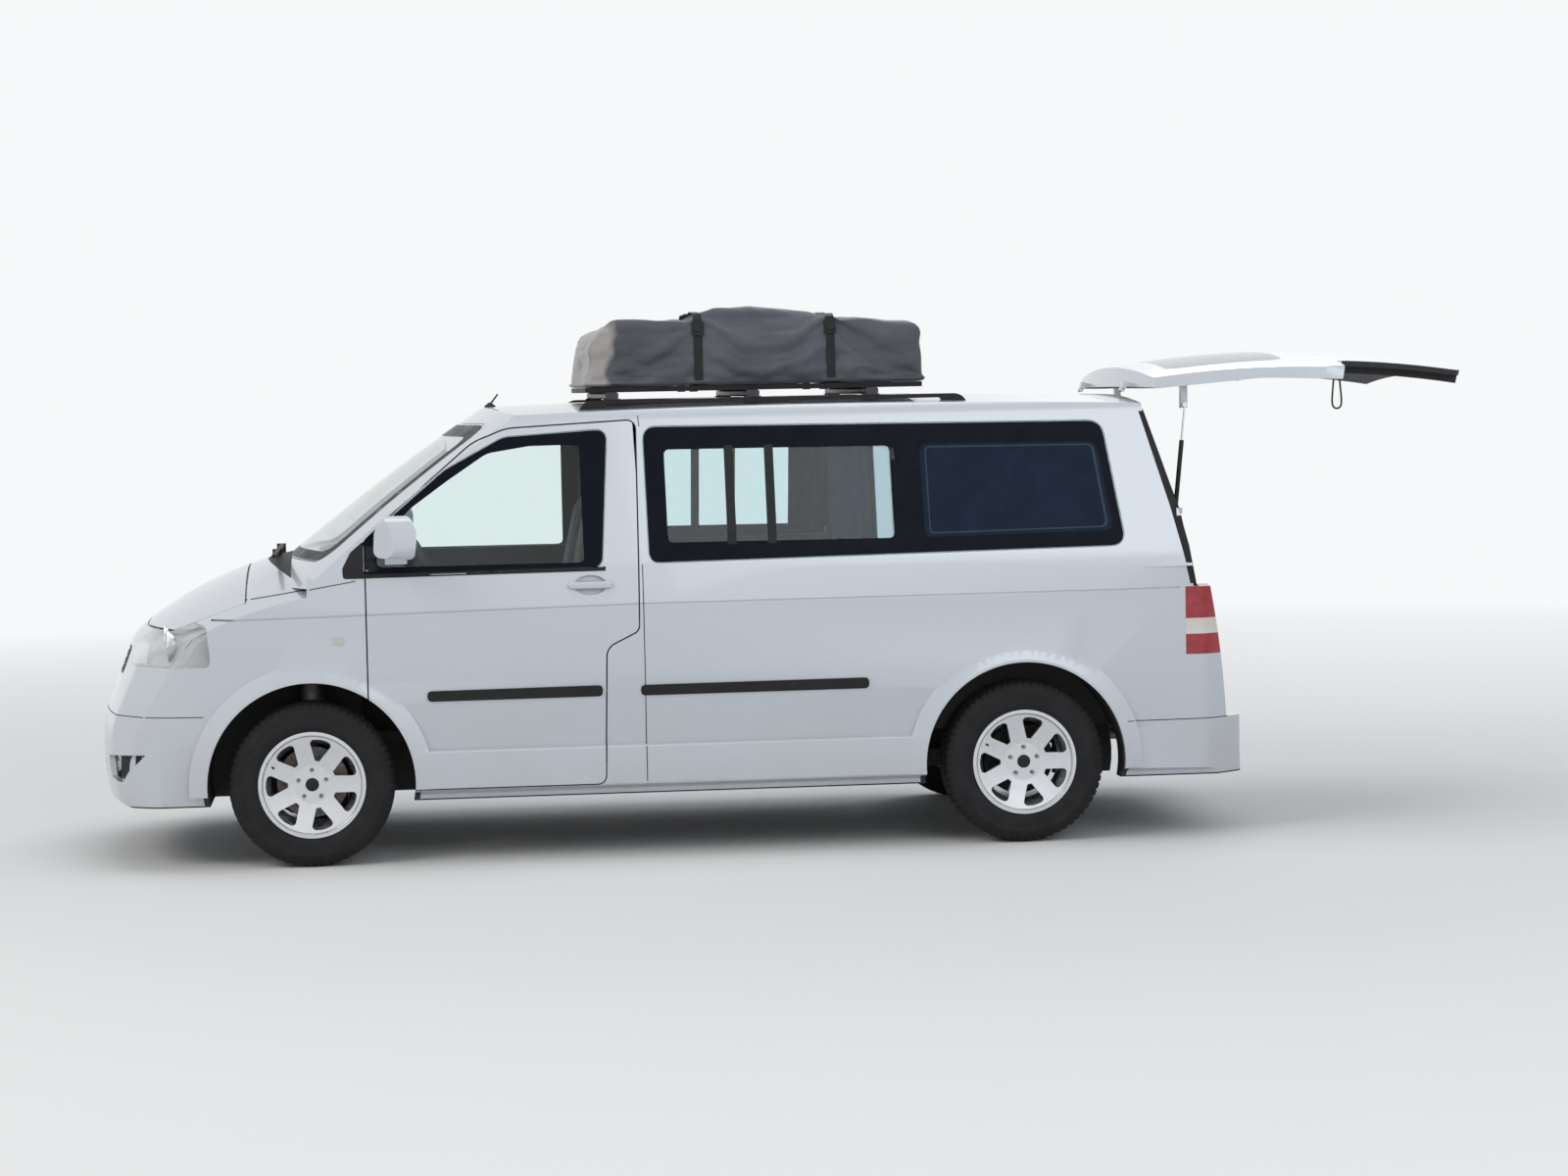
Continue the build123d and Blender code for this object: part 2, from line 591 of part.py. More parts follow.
def seat(x, y, width, floor_z):
    """Seat whose backrest leans back, on its base."""
    cushion = fillet(Box(480, width, 150).edges(), 50)
    back = fillet(Box(130, width - 20, 620).edges(), 50)
    head = fillet(Box(100, min(width * 0.55, 270), 170).edges(), 40)
    base = block(-190, 190, -width / 2 + 60, width / 2 - 60, 0, 300 + FLOOR_TOP - floor_z)
    shape = Pos(0, 0, 360) * cushion + Pos(-262, 0, 640) * Rot(0, -12, 0) * back
    shape = shape + Pos(-345, 0, 1010) * Rot(0, -12, 0) * head + base
    return Pos(x, y, floor_z) * shape


front_seats = [seat(FRONT_SEAT_X, y, 500, FLOOR_TOP) for y in (380, -380)]
rear_bench = seat(BENCH_X, 0, 1180, FLOOR_TOP)

# Engine, axle frames, tank and exhaust
engine = fillet(block(*ENGINE_BOX).edges().filter_by(Axis.Z), 40)
front_frame = block(1360, 1620, -420, 420, 215, ENGINE_BOX[4] - GLASS_SEAT)
for side in (1, -1):
    front_frame = front_frame + block(1400, 1600, 384 * side, (BAY_HALF - GLASS_SEAT) * side, 215, 420)
for side in (1, -1):
    arm = outline([(1380, 400 * side, 10), (1620, 400 * side, 10), (1530, 722 * side, 20), (1470, 722 * side, 20)])
    front_frame = front_frame + along_z(arm, 222, 246)
rear_frame = block(-1230, -1130, -560, 560, 300, 380)
for side in (1, -1):
    arm = outline([(-1140, 400 * side, 10), (-1140, 560 * side, 10), (-1560, 690 * side, 20), (-1560, 620 * side, 20)])
    rear_frame = rear_frame + along_z(arm, 300, 375)
    rear_frame = rear_frame + Pos(-1500, 680 * side, AXLE_Z) * Rot(90, 0, 0) * Cylinder(70, 90)
    hub_length = HUB_FACE_Y - 640
    rear_frame = rear_frame + Pos(-1500, (640 + hub_length / 2) * side, AXLE_Z) * Rot(90, 0, 0) * Cylinder(HUB_RADIUS - 4, hub_length)
    rear_frame = rear_frame + Pos(-1500, 760 * side, AXLE_Z) * Rot(90, 0, 0) * Cylinder(DISC_RADIUS, 22)
    rear_frame = rear_frame + block(-1230, -1130, 440 * side, 520 * side, 380, FLOOR_TOP - FLOOR_THICK)
    rear_frame = rear_frame + Pos(-1400, 560 * side, 420) * Cylinder(58, 110)
tank = fillet(block(-900, -180, 100, 640, 330, FLOOR_TOP - FLOOR_THICK - GLASS_SEAT).edges().filter_by(Axis.Z), 60)
EXHAUST = [(1262, -120, 330), (900, -300, 360), (-900, -300, 360), (-1090, -330, 425), (-1650, -330, 425), (-1800, -420, 330), (-2250, -500, 300)]
pipe_line = FilletPolyline(*EXHAUST, radius=90)
exhaust = sweep(Plane(origin=EXHAUST[0], z_dir=pipe_line % 0) * Circle(26), path=pipe_line)
exhaust = exhaust + Pos(300, -300, 360) * Rot(0, 90, 0) * Cylinder(85, 700)
exhaust = exhaust + block(270, 330, -330, -270, 360, FLOOR_TOP - FLOOR_THICK)

# Steered knuckles, each with its hub, brake disc and spring strut
KING_TOP_Z = AXLE_Z + ARCH_RADIUS
def knuckle(side):
    ball = (FRONT_AXLE_X, BALL_Y * side, BALL_Z)
    top = (FRONT_AXLE_X, (BALL_Y - KING_LEAN) * side, KING_TOP_Z - 6)
    low = (FRONT_AXLE_X, (BALL_Y - KING_LEAN * 0.1) * side, BALL_Z + 60)
    spring = (FRONT_AXLE_X, (BALL_Y - KING_LEAN * 0.52) * side, BALL_Z + 300)
    near_top = (FRONT_AXLE_X, (BALL_Y - KING_LEAN * 0.96) * side, KING_TOP_Z - 22)
    shape = rod_between(low, top, 24) + rod_between(spring, near_top, 58)
    lift = BALL_RADIUS + GLASS_SEAT
    lean = lift * KING_LEAN / (KING_TOP_Z - BALL_Z)
    joint = (FRONT_AXLE_X, (BALL_Y - lean) * side, BALL_Z + lift)
    shape = shape + Pos(*joint) * Sphere(BALL_RADIUS) + rod_between(joint, low, BALL_RADIUS - 4)
    hub_length = HUB_FACE_Y - 640
    shape = shape + Pos(FRONT_AXLE_X, (640 + hub_length / 2) * side, AXLE_Z) * Rot(90, 0, 0) * Cylinder(HUB_RADIUS - 4, hub_length)
    shape = shape + Pos(FRONT_AXLE_X, 770 * side, AXLE_Z) * Rot(90, 0, 0) * Cylinder(DISC_RADIUS, 24)
    return shape


# Wheels
def rim(x, side):
    half = RIM_WIDTH / 2
    rows = [
        (RIM_RADIUS, half, 0),
        (RIM_RADIUS, half - 7, 0),
        (BEAD_RADIUS, half - 9, 0),
        (BEAD_RADIUS, half - 40, 0),
        (BEAD_RADIUS - 22, half - 60, 0),
        (BEAD_RADIUS - 22, -half + 45, 0),
        (BEAD_RADIUS, -half + 30, 0),
        (BEAD_RADIUS, -half + 9, 0),
        (RIM_RADIUS, -half + 7, 0),
        (RIM_RADIUS, -half, 0),
        (RIM_RADIUS - 12, -half, 0),
        (BEAD_RADIUS - 32, -half + 40, 0),
        (BEAD_RADIUS - 32, half - 60, 0),
        (RIM_RADIUS - 14, half, 0),
    ]
    barrel_ring = revolve(outline(rows), Axis.Y)
    face_rows = [
        (0, SPOKE_FACE, 0),
        (80, SPOKE_FACE, 20),
        (130, SPOKE_FACE + 6, 60),
        (RIM_RADIUS - 20, half - 8, 0),
        (RIM_RADIUS - 20, half - 30, 0),
        (120, HUB_FACE, 20),
        (0, HUB_FACE, 0),
    ]
    disc = revolve(outline(face_rows), Axis.Y)
    window = outline([(100, -9, 4), (100, 9, 4), (182, 50, 16), (194, 0, 90), (182, -50, 16)])
    for i in range(SPOKES):
        disc = disc - Rot(0, 360 * i / SPOKES, 0) * along_y(window, 0, 200)
    for i in range(LUG_HOLES):
        angle = radians(360 * i / LUG_HOLES + 90)
        hole = Pos(LUG_CIRCLE * cos(angle), LUG_CIRCLE * sin(angle)) * Circle(11)
        disc = disc - along_y(hole, HUB_FACE + 12, 200)
    wheel = barrel_ring + disc
    wheel = Pos(x, WHEEL_Y, AXLE_Z) * wheel
    return wheel if side > 0 else mirror(wheel, Plane.XZ)


def tyre(x, side):
    half = TYRE_WIDTH / 2
    bead = BEAD_RADIUS + GLASS_SEAT
    rows = [
        (bead, RIM_WIDTH / 2 - 10, 0),
        (bead, -RIM_WIDTH / 2 + 10, 0),
        (RIM_RADIUS + 2, -RIM_WIDTH / 2 + 8, 0),
        (272, -half, 0),
        (322, -half + 5, 0),
        (TYRE_RADIUS, -half + 26, 0),
        (TYRE_RADIUS, half - 26, 0),
        (322, half - 5, 0),
        (272, half, 0),
        (RIM_RADIUS + 2, RIM_WIDTH / 2 - 8, 0),
    ]
    shape = Pos(x, WHEEL_Y, AXLE_Z) * revolve(outline(rows), Axis.Y)
    return shape if side > 0 else mirror(shape, Plane.XZ)


# Roof rails, crossbars, tent base and tent in its cover
roof_clear = barrel("roof", -GLASS_SEAT)
rail_side = outline(
    [
        (RAIL_X[0], 1850, 0),
        (RAIL_X[0] - 40, RAIL_TOP, 60),
        (RAIL_X[1] + 40, RAIL_TOP, 60),
        (RAIL_X[1], 1850, 0),
    ]
)
for ahead_foot, behind_foot in zip(RAIL_FEET, RAIL_FEET[1:]):
    gap = [
        (ahead_foot - RAIL_FOOT / 2, 1840, 0),
        (ahead_foot - RAIL_FOOT / 2 - 25, RAIL_TOP - RAIL_BAR, 12),
        (behind_foot + RAIL_FOOT / 2 + 25, RAIL_TOP - RAIL_BAR, 12),
        (behind_foot + RAIL_FOOT / 2, 1840, 0),
    ]
    rail_side = rail_side - outline(gap)
rails = [s - roof_clear for s in both(along_y(rail_side, RAIL_Y - RAIL_WIDTH / 2, RAIL_Y + RAIL_WIDTH / 2))]
crossbars = []
for x in BARS_X:
    bar = block(x - BAR_SIZE[0] / 2, x + BAR_SIZE[0] / 2, -BAR_REACH, BAR_REACH, RAIL_TOP + 4, RAIL_TOP + 4 + BAR_SIZE[1])
    bar = fillet(bar.edges().filter_by(Axis.Y), 8)
    for side in (1, -1):
        bar = bar + block(x - 35, x + 35, RAIL_Y * side - 24, RAIL_Y * side + 24, RAIL_TOP, RAIL_TOP + 6)
    crossbars.append(bar)
BASE_Z = RAIL_TOP + 4 + BAR_SIZE[1]
tent_base = block(TENT_X[1] + 20, TENT_X[0] - 20, -TENT_HALF + 20, TENT_HALF - 20, BASE_Z, BASE_Z + 22)
TENT_Z = BASE_Z + 22 + GLASS_SEAT
tent_profile = [
    (TENT_X[0], TENT_Z, 20),
    (TENT_X[0] - 10, TENT_TOP - 60, 120),
    (TENT_X[0] - 140, TENT_TOP, 90),
    (TENT_HUMP_X[0] + 90, TENT_TOP, 60),
    (TENT_HUMP_X[0], TENT_TOP + TENT_HUMP, 60),
    (TENT_HUMP_X[1], TENT_TOP + TENT_HUMP, 60),
    (TENT_HUMP_X[1] - 90, TENT_TOP, 60),
    (TENT_X[1], TENT_TOP - 10, 60),
    (TENT_X[1], TENT_Z, 20),
]
tent_section = [(TENT_HALF, TENT_Z - 5, 20), (TENT_HALF, TENT_TOP + TENT_HUMP + 5, 110)]
tent = along_y(outline(tent_profile), -TENT_HALF, TENT_HALF) & along_x(outline(mirrored(tent_section)), -1300, 500)

# Gas struts and the pull loop on the tailgate
foot_x, foot_z = STRUT_FOOT
head_x, head_z = STRUT_HEAD
tubes, rods = [], []
for side in (1, -1):
    foot = Vector(foot_x, STRUT_Y * side, foot_z)
    head = Vector(head_x, STRUT_Y * side, head_z)
    way = (head - foot).normalized()
    tube_bore = rod_between(foot + way * 20, head, ROD_RADIUS + 0.3)
    tube = rod_between(foot + way * 8, foot + way * TUBE_LENGTH, TUBE_RADIUS) - tube_bore
    eye = Pos(*foot) * Rot(90, 0, 0) * (Cylinder(12, 12) - Cylinder(STUD_RADIUS + STUD_CLEARANCE, 12))
    tubes.append(tube + eye - Pos(*foot) * Rot(90, 0, 0) * Cylinder(STUD_RADIUS + STUD_CLEARANCE, 30))
    rod = rod_between(foot + way * (TUBE_LENGTH - STRUT_OVERLAP), head - way * 8, ROD_RADIUS)
    rod_eye = Pos(*head) * Rot(90, 0, 0) * Cylinder(11, 12)
    rods.append(rod + rod_eye)
    stud = Pos(foot_x, (STRUT_Y + 16) * side, foot_z) * Rot(90, 0, 0) * Cylinder(STUD_RADIUS, 46)
    bracket = block(foot_x - 5, -2150, (STRUT_Y + 16) * side, (STRUT_Y + 110) * side, foot_z - 14, foot_z + 10)
    panel = 0 if side > 0 else 1
    side_panels[panel] = side_panels[panel] + bracket + stud
closed = swing_gate(solid_of(gate))
for side in (1, -1):
    stud_end = STRUT_Y - 6 - STUD_CLEARANCE
    stud = Pos(head_x, (stud_end - 16) * side, head_z) * Rot(90, 0, 0) * Cylinder(STUD_RADIUS, 32)
    bracket = block(head_x - 14, head_x + 14, (STRUT_Y - 46) * side, (STRUT_Y - 10) * side, head_z - 14, head_z + 130)
    closed = closed + stud + bracket
hinge_place = Pos(GATE_HINGE_X, 0, GATE_HINGE_Z) * Rot(90, 0, 0)
for y in HINGE_Y:
    pin = Pos(0, y, 0) * hinge_place * Cylinder(HINGE_PIN, 60)
    lug = block(GATE_HINGE_X - 4, GATE_HINGE_X + 60, y + 14, y + 30, GATE_HINGE_Z - 30, GATE_HINGE_Z + 6)
    bore = Pos(0, y, 0) * hinge_place * Cylinder(HINGE_PIN + GLASS_SEAT, 70)
    eye = Pos(0, y - 9, 0) * hinge_place * Cylinder(HINGE_PIN + 5, 40)
    leaf = block(GATE_HINGE_X - 36, GATE_HINGE_X - 6, y - 29, y + 11, GATE_HINGE_Z - 14, GATE_HINGE_Z + 4)
    leaf = leaf + block(GATE_HINGE_X - 36, GATE_HINGE_X - 18, y - 29, y + 11, GATE_HINGE_Z - 44, GATE_HINGE_Z - 14)
    closed = closed + ((eye + swing_gate(leaf)) - bore)
    room = Pos(0, y - 9, 0) * hinge_place * Cylinder(HINGE_PIN + 11, 52)
    roof_panel = (roof_panel - room) + lug + pin
loop_x, loop_y, loop_top, loop_low = PULL_LOOP
strap_outer = Pos(loop_x, (loop_top + loop_low) / 2) * RectangleRounded(46, loop_top - loop_low, 22)
strap_inner = offset(strap_outer, -4)
pull_loop = along_y(strap_outer - strap_inner, loop_y - 12, loop_y + 12)

# Wipers on the cowl
wipers = []
for y in WIPER_Y:
    arm = block(1625, 1665, y - 20, y + 20, 1240, 1290)
    arm = (arm + block(1632, 1650, y - 8, y + 540, 1276, 1290)) - clear_form
    wipers.append(arm)

write("body_shell", *[s for s in shell.solids() if s.volume > 1e5])
write("roof_panel", solid_of(roof_panel))
write("side_panel_left", *[s for s in side_panels[0].solids() if s.volume > 1e4])
write("side_panel_right", *[s for s in side_panels[1].solids() if s.volume > 1e4])
write("sliding_door_right", sliding_door)
write("front_wings", *front_wings)
write("front_bumper", *[s for s in front_bumper.solids() if s.volume > 1e4])
write("rear_bumper", *[s for s in rear_bumper.solids() if s.volume > 1e4])
write("grille", grille)
write("headlamps", *headlamps)
write("tail_lamps", *tail_lamps)
write("windscreen", solid_of(windscreen))
write("side_glass", *side_glass)
write("bonnet", bonnet)
write("cowl_panel", cowl_panel)
door_pieces = (
    ("front_door", door_left),
    ("door_glass", solid_of(door_glass_left)),
    ("door_mirror", mirror_left),
)
for name, left in door_pieces:
    write(name + "_left", solid_of(left))
    write(name + "_right", mirror(solid_of(left), Plane.XZ))
write("tailgate", closed)
write("tailgate_glass", swing_gate(solid_of(gate_glass)))
write("pull_loop", pull_loop)
for name, tube, rod in (("left", tubes[0], rods[0]), ("right", tubes[1], rods[1])):
    write("strut_tube_" + name, tube)
    write("strut_rod_" + name, rod)
write("dashboard", dashboard)
write("steering_wheel", steering_wheel)
write("front_seats", *front_seats)
write("rear_bench", rear_bench)
write("roof_rails", *rails)
write("crossbars", *crossbars)
write("tent_base", tent_base)
write("tent_cover", tent)
write("engine_block", engine)
write("front_axle_frame", front_frame)
write("rear_axle_frame", rear_frame)
write("fuel_tank", tank)
write("exhaust", exhaust)
write("wipers", *wipers)
for name, x, side in CORNERS:
    write("wheel_" + name, rim(x, side))
    write("tyre_" + name, tyre(x, side))
write("knuckle_left", knuckle(1))
write("knuckle_right", knuckle(-1))
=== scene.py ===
import json
from functools import lru_cache
from math import cos, exp, pi, radians, sin

import bmesh
import bpy
from mathutils import Matrix, Quaternion, Vector, noise
from mathutils.bvhtree import BVHTree


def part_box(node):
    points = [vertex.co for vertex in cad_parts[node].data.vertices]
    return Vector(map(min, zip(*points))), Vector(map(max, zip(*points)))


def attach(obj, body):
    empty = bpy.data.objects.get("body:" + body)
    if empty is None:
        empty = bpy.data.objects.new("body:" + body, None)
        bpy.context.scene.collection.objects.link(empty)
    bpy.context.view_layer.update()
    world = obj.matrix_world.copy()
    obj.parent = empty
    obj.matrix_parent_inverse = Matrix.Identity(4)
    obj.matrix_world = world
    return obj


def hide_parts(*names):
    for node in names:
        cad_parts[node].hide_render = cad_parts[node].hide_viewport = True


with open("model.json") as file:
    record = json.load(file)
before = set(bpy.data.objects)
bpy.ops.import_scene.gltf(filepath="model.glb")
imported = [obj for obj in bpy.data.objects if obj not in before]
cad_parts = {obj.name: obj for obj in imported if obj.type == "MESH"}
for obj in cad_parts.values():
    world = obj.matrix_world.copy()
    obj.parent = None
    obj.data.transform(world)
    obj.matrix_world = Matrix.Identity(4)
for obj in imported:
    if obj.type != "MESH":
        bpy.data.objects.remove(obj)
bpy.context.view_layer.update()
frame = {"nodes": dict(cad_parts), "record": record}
nodes = frame["nodes"]

# Lengths are metres in the frame. MID is mid-wheelbase, where side features are measured from
MID = 0.54
AXLES = {"front": 1.5 + MID, "rear": -1.5 + MID}
AXLE_Z = 0.343
SIDES = (("left", 1), ("right", -1))
X, Y, Z = Vector((1, 0, 0)), Vector((0, 1, 0)), Vector((0, 0, 1))


def placed(name, data):
    """A new object in the scene."""
    made = bpy.data.objects.new(name, data)
    bpy.context.scene.collection.objects.link(made)
    return made


# Camera at the photograph's place, looking at the van with a longer lens
EYE = Vector((1.661, 15.063, 1.95))
TARGET = Vector((-0.049, 0.0, 1.056))
CAMERA_ROLL = -1.16
LENS = 78.0

camera = placed("camera", bpy.data.cameras.new("camera"))
camera.data.lens = LENS
camera.data.sensor_width = 36.0
camera.location = EYE
camera.rotation_mode = "QUATERNION"
aim = (TARGET - EYE).to_track_quat("-Z", "Y")
camera.rotation_quaternion = aim @ Quaternion((0, 0, 1), radians(CAMERA_ROLL))
bpy.context.scene.camera = camera
bpy.context.scene.view_settings.view_transform = "Standard"


class Nodes:
    """A writer for a node tree. Kinds of node are named without their prefix."""

    def __init__(self, tree, prefix="ShaderNode"):
        self.tree, self.prefix = tree, prefix

    def give(self, socket, value):
        """Gives a socket a number, a colour as a triple, or the output of another node."""
        if isinstance(value, bpy.types.NodeSocket):
            self.tree.links.new(value, socket)
        else:
            socket.default_value = (*value, 1.0) if socket.type == "RGBA" else value

    def add(self, kind, **values):
        """A node. Plain names are its properties, and names with in_ are its inputs."""
        node = self.tree.nodes.new(self.prefix + kind)
        for name, value in values.items():
            if name.startswith("in_"):
                key = name[3:]
                self.give(node.inputs[int(key) if key.isdigit() else key.replace("_", " ")], value)
            else:
                setattr(node, name, value)
        return node

    def math(self, operation, *values):
        inputs = {f"in_{i}": value for i, value in enumerate(values)}
        return self.add("Math", operation=operation, **inputs).outputs[0]

    def less(self, first, second):
        return self.math("LESS_THAN", first, second)

    def square(self, value):
        return self.math("MULTIPLY", value, value)

    def line(self, value, slope, start):
        return self.math("MULTIPLY_ADD", value, slope, start)

    def all(self, *masks):
        """1 where every mask is 1."""
        result = masks[0]
        for mask in masks[1:]:
            result = self.math("MULTIPLY", result, mask)
        return result


class Shader(Nodes):
    """A material whose shader is one Principled BSDF, with helpers for procedural inputs."""

    def __init__(self, name, color, **sockets):
        self.material = bpy.data.materials.new(name)
        self.material.use_nodes = True
        super().__init__(self.material.node_tree)
        self.bsdf = self.tree.nodes["Principled BSDF"]
        self.coords = None
        self.set("Base Color", color)
        for socket, value in sockets.items():
            self.set(socket.replace("_", " "), value)

    def set(self, socket, value):
        self.give(self.bsdf.inputs[socket], value)

    def place(self):
        """Object coordinates, in metres of the shared frame."""
        if self.coords is None:
            self.coords = self.add("TexCoord").outputs["Object"]
        return self.coords

    def axis(self, index, source=None):
        return self.add("SeparateXYZ", in_0=source or self.place()).outputs[index]

    def stretched(self, scale):
        return self.add("Mapping", in_Vector=self.place(), in_Scale=scale).outputs[0]

    def noise(self, scale, detail=3.0, vector=None):
        vector = vector or self.place()
        return self.add("TexNoise", in_Vector=vector, in_Scale=scale, in_Detail=detail).outputs[0]

    def cells(self, scale):
        return self.add("TexVoronoi", in_Vector=self.place(), in_Scale=scale)

    def range(self, value, low, high, to_low=0.0, to_high=1.0):
        return self.add("MapRange", in_Value=value, in_From_Min=low, in_From_Max=high, in_To_Min=to_low,
                        in_To_Max=to_high).outputs[0]

    def mix(self, factor, first, second):
        """A mix of two colours, each a triple or a socket."""
        return self.add("Mix", data_type="RGBA", in_0=factor, in_6=first, in_7=second).outputs[2]

    def patchy(self, scale, detail, low, high):
        """Soft noise between two values."""
        return self.range(self.noise(scale, detail), 0.3, 0.7, low, high)

    def weave(self, directions, scale, distortion, depth):
        """Bump of two crossed sets of threads."""
        waves = [self.add("TexWave", in_Vector=self.stretched(way), in_Scale=scale, in_Distortion=distortion)
                 for way in directions]
        self.bump(self.math("MULTIPLY", *(wave.outputs[1] for wave in waves)), depth)

    def bump(self, height, depth):
        """Bump of a height from 0 to 1, depth in metres."""
        self.set("Normal", self.add("Bump", in_Height=height, in_Distance=depth).outputs[0])


SILVER = (0.56, 0.59, 0.635)
BLACK = (0.011, 0.011, 0.013)
CABIN_GREY = (0.085, 0.088, 0.095)
WELL_BLACK = (0.016, 0.016, 0.017)
DUST = (0.42, 0.37, 0.30)

# Inner skin of the body. A half width is low z, high z and the width at each, and the tail's taper goes by x
LEAN_IN = (1.15, 1.868, 0.893, 0.732)
SILL_OUT = (0.30, 0.76, 0.862, 0.910)
TAIL_IN = (-1.10, -1.76, 0.0, 0.05)
ROOF_UNDER, ROOF_CROWN = 1.880, 0.06
CABIN_FRONT = 1.84
SCREEN_FOOT, SCREEN_LEAN, SCREEN_BOW = 3.825, -1.359, -0.257
GATE_FOOT, GATE_LEAN = -1.875, 0.215

# Wheel houses and underside, the mirror's arm, the scuttle's edge, and the tailgate's rear end
WELL_RADIUS, WELL_DEEP, UNDERSIDE = 0.450, 0.925, 0.268
ARM_Y = 0.956
SCUTTLE_X = 2.225
GATE_END = (-2.407, -2.403, 0.30, -0.45)


def tinted(s, color, shade):
    """The colour multiplied by a shade from 0 to 1 or a little more."""
    return s.add("Mix", data_type="RGBA", blend_type="MULTIPLY", in_0=1.0, in_6=color, in_7=shade).outputs[2]


def inside_mask(s):
    """1 on the cabin's inner faces, 0 outside: the body's half width and crown follow its section."""
    x, y, z = (s.axis(i) for i in range(3))
    y = s.math("ABSOLUTE", y)
    wall = s.math("MINIMUM", s.range(z, *LEAN_IN), s.range(z, *SILL_OUT))
    within = s.less(y, s.math("SUBTRACT", wall, s.range(x, *TAIL_IN)))
    under_roof = s.less(z, s.line(s.square(y), -ROOF_CROWN, ROOF_UNDER))
    screen = s.line(s.square(y), SCREEN_BOW, s.line(z, SCREEN_LEAN, SCREEN_FOOT))
    cabin = s.less(x, s.math("MINIMUM", CABIN_FRONT, screen))
    ahead_of_gate = s.less(s.line(z, GATE_LEAN, GATE_FOOT), x)
    return s.all(within, under_roof, cabin, ahead_of_gate)


def well_mask(s):
    """1 in the wheel houses and under the floor."""
    x, y, z = (s.axis(i) for i in range(3))
    deep = s.less(s.math("ABSOLUTE", y), WELL_DEEP)
    result = s.less(z, UNDERSIDE)
    for axle in AXLES.values():
        away = [s.square(s.math("SUBTRACT", here, there)) for here, there in ((x, axle), (z, AXLE_Z))]
        near = s.less(s.math("ADD", *away), WELL_RADIUS**2)
        result = s.math("MAXIMUM", result, s.all(near, deep))
    return result


def paint(name, dust=0.25, masks=False, gate=False, arm=False, scuttle=False):
    """Metallic lacquer: flakes under a clear coat, road dust low down, and bare parts by their place."""
    s = Shader(name, SILVER, Metallic=0.35, Roughness=0.36, Coat_Weight=0.8, Coat_Roughness=0.05)
    flakes = s.cells(2600.0).outputs["Color"]
    shade = s.range(s.axis(0, flakes), 0.0, 1.0, 0.88, 1.08)
    height = s.range(s.axis(2), 0.22, 0.80, 1.0, 0.0)
    patchy = s.range(s.noise(3.0, 6.0), 0.35, 0.75)
    dirt = s.all(height, patchy, dust)
    look = s.mix(dirt, tinted(s, SILVER, shade), DUST)
    rough = s.range(dirt, 0.0, 1.0, 0.36, 0.8)
    bare = None
    if masks:
        grain = s.patchy(40.0, 4.0, 0.85, 1.1)
        inner, well = inside_mask(s), well_mask(s)
        look = s.mix(inner, look, tinted(s, CABIN_GREY, grain))
        look = s.mix(well, look, tinted(s, WELL_BLACK, grain))
        bare = s.math("MAXIMUM", inner, well)
    if arm:
        bare = s.less(s.math("ABSOLUTE", s.axis(1)), ARM_Y)
    if scuttle:
        bare = s.less(s.axis(0), s.line(s.square(s.axis(1)), SCREEN_BOW, SCUTTLE_X))
    if gate:
        normal = s.add("TexCoord").outputs["Normal"]
        bare = s.less(s.axis(2, normal), s.range(s.axis(0), *GATE_END))
    if bare is not None:
        if not masks:
            look = s.mix(bare, look, BLACK)
        s.set("Metallic", s.range(bare, 0.0, 1.0, 0.35, 0.0))
        s.set("Coat Weight", s.range(bare, 0.0, 1.0, 0.8, 0.0))
        rough = s.math("MAXIMUM", rough, s.range(bare, 0.0, 1.0, 0.0, 0.65))
    s.set("Base Color", look)
    s.set("Roughness", rough)
    return s.material


def grained(name, color, grain=900.0, roughness=0.55, depth=0.0002, gloss=0.3):
    """Moulded plastic with a fine leather grain."""
    s = Shader(name, color, Roughness=roughness, Specular_IOR_Level=gloss)
    s.set("Roughness", s.patchy(14.0, 4.0, roughness - 0.07, roughness + 0.09))
    s.set("Base Color", tinted(s, color, s.patchy(6.0, 5.0, 0.85, 1.12)))
    s.bump(s.cells(grain).outputs["Distance"], depth)
    return s.material


def glazing(name, tint):
    return Shader(name, tint, Roughness=0.0, IOR=1.33, Transmission_Weight=1.0).material


def metal(name, color, roughness):
    s = Shader(name, color, Metallic=1.0, Roughness=roughness)
    s.set("Roughness", s.patchy(60.0, 5.0, roughness * 0.75, roughness * 1.35))
    return s.material


def cloth(name, color, thread=700.0, depth=0.0004, roughness=0.9, sheen=0.3):
    """Woven cloth: two crossed sets of threads and slow colour variation."""
    s = Shader(name, color, Roughness=roughness, Sheen_Weight=sheen, Sheen_Roughness=0.5)
    s.set("Base Color", tinted(s, color, s.patchy(9.0, 5.0, 0.78, 1.18)))
    s.weave(((1, 0, 0.7), (0.7, 1, 0)), thread / 20.0, 0.3, depth)
    return s.material


# The tent's cover is pale ahead of this, and the tail lamps are banded between these heights
PALE_FROM, PALE_FULL = 0.735, 0.765
PALE_LOW, AMBER_LOW, PALE_HIGH = 0.868, 0.898, 0.935


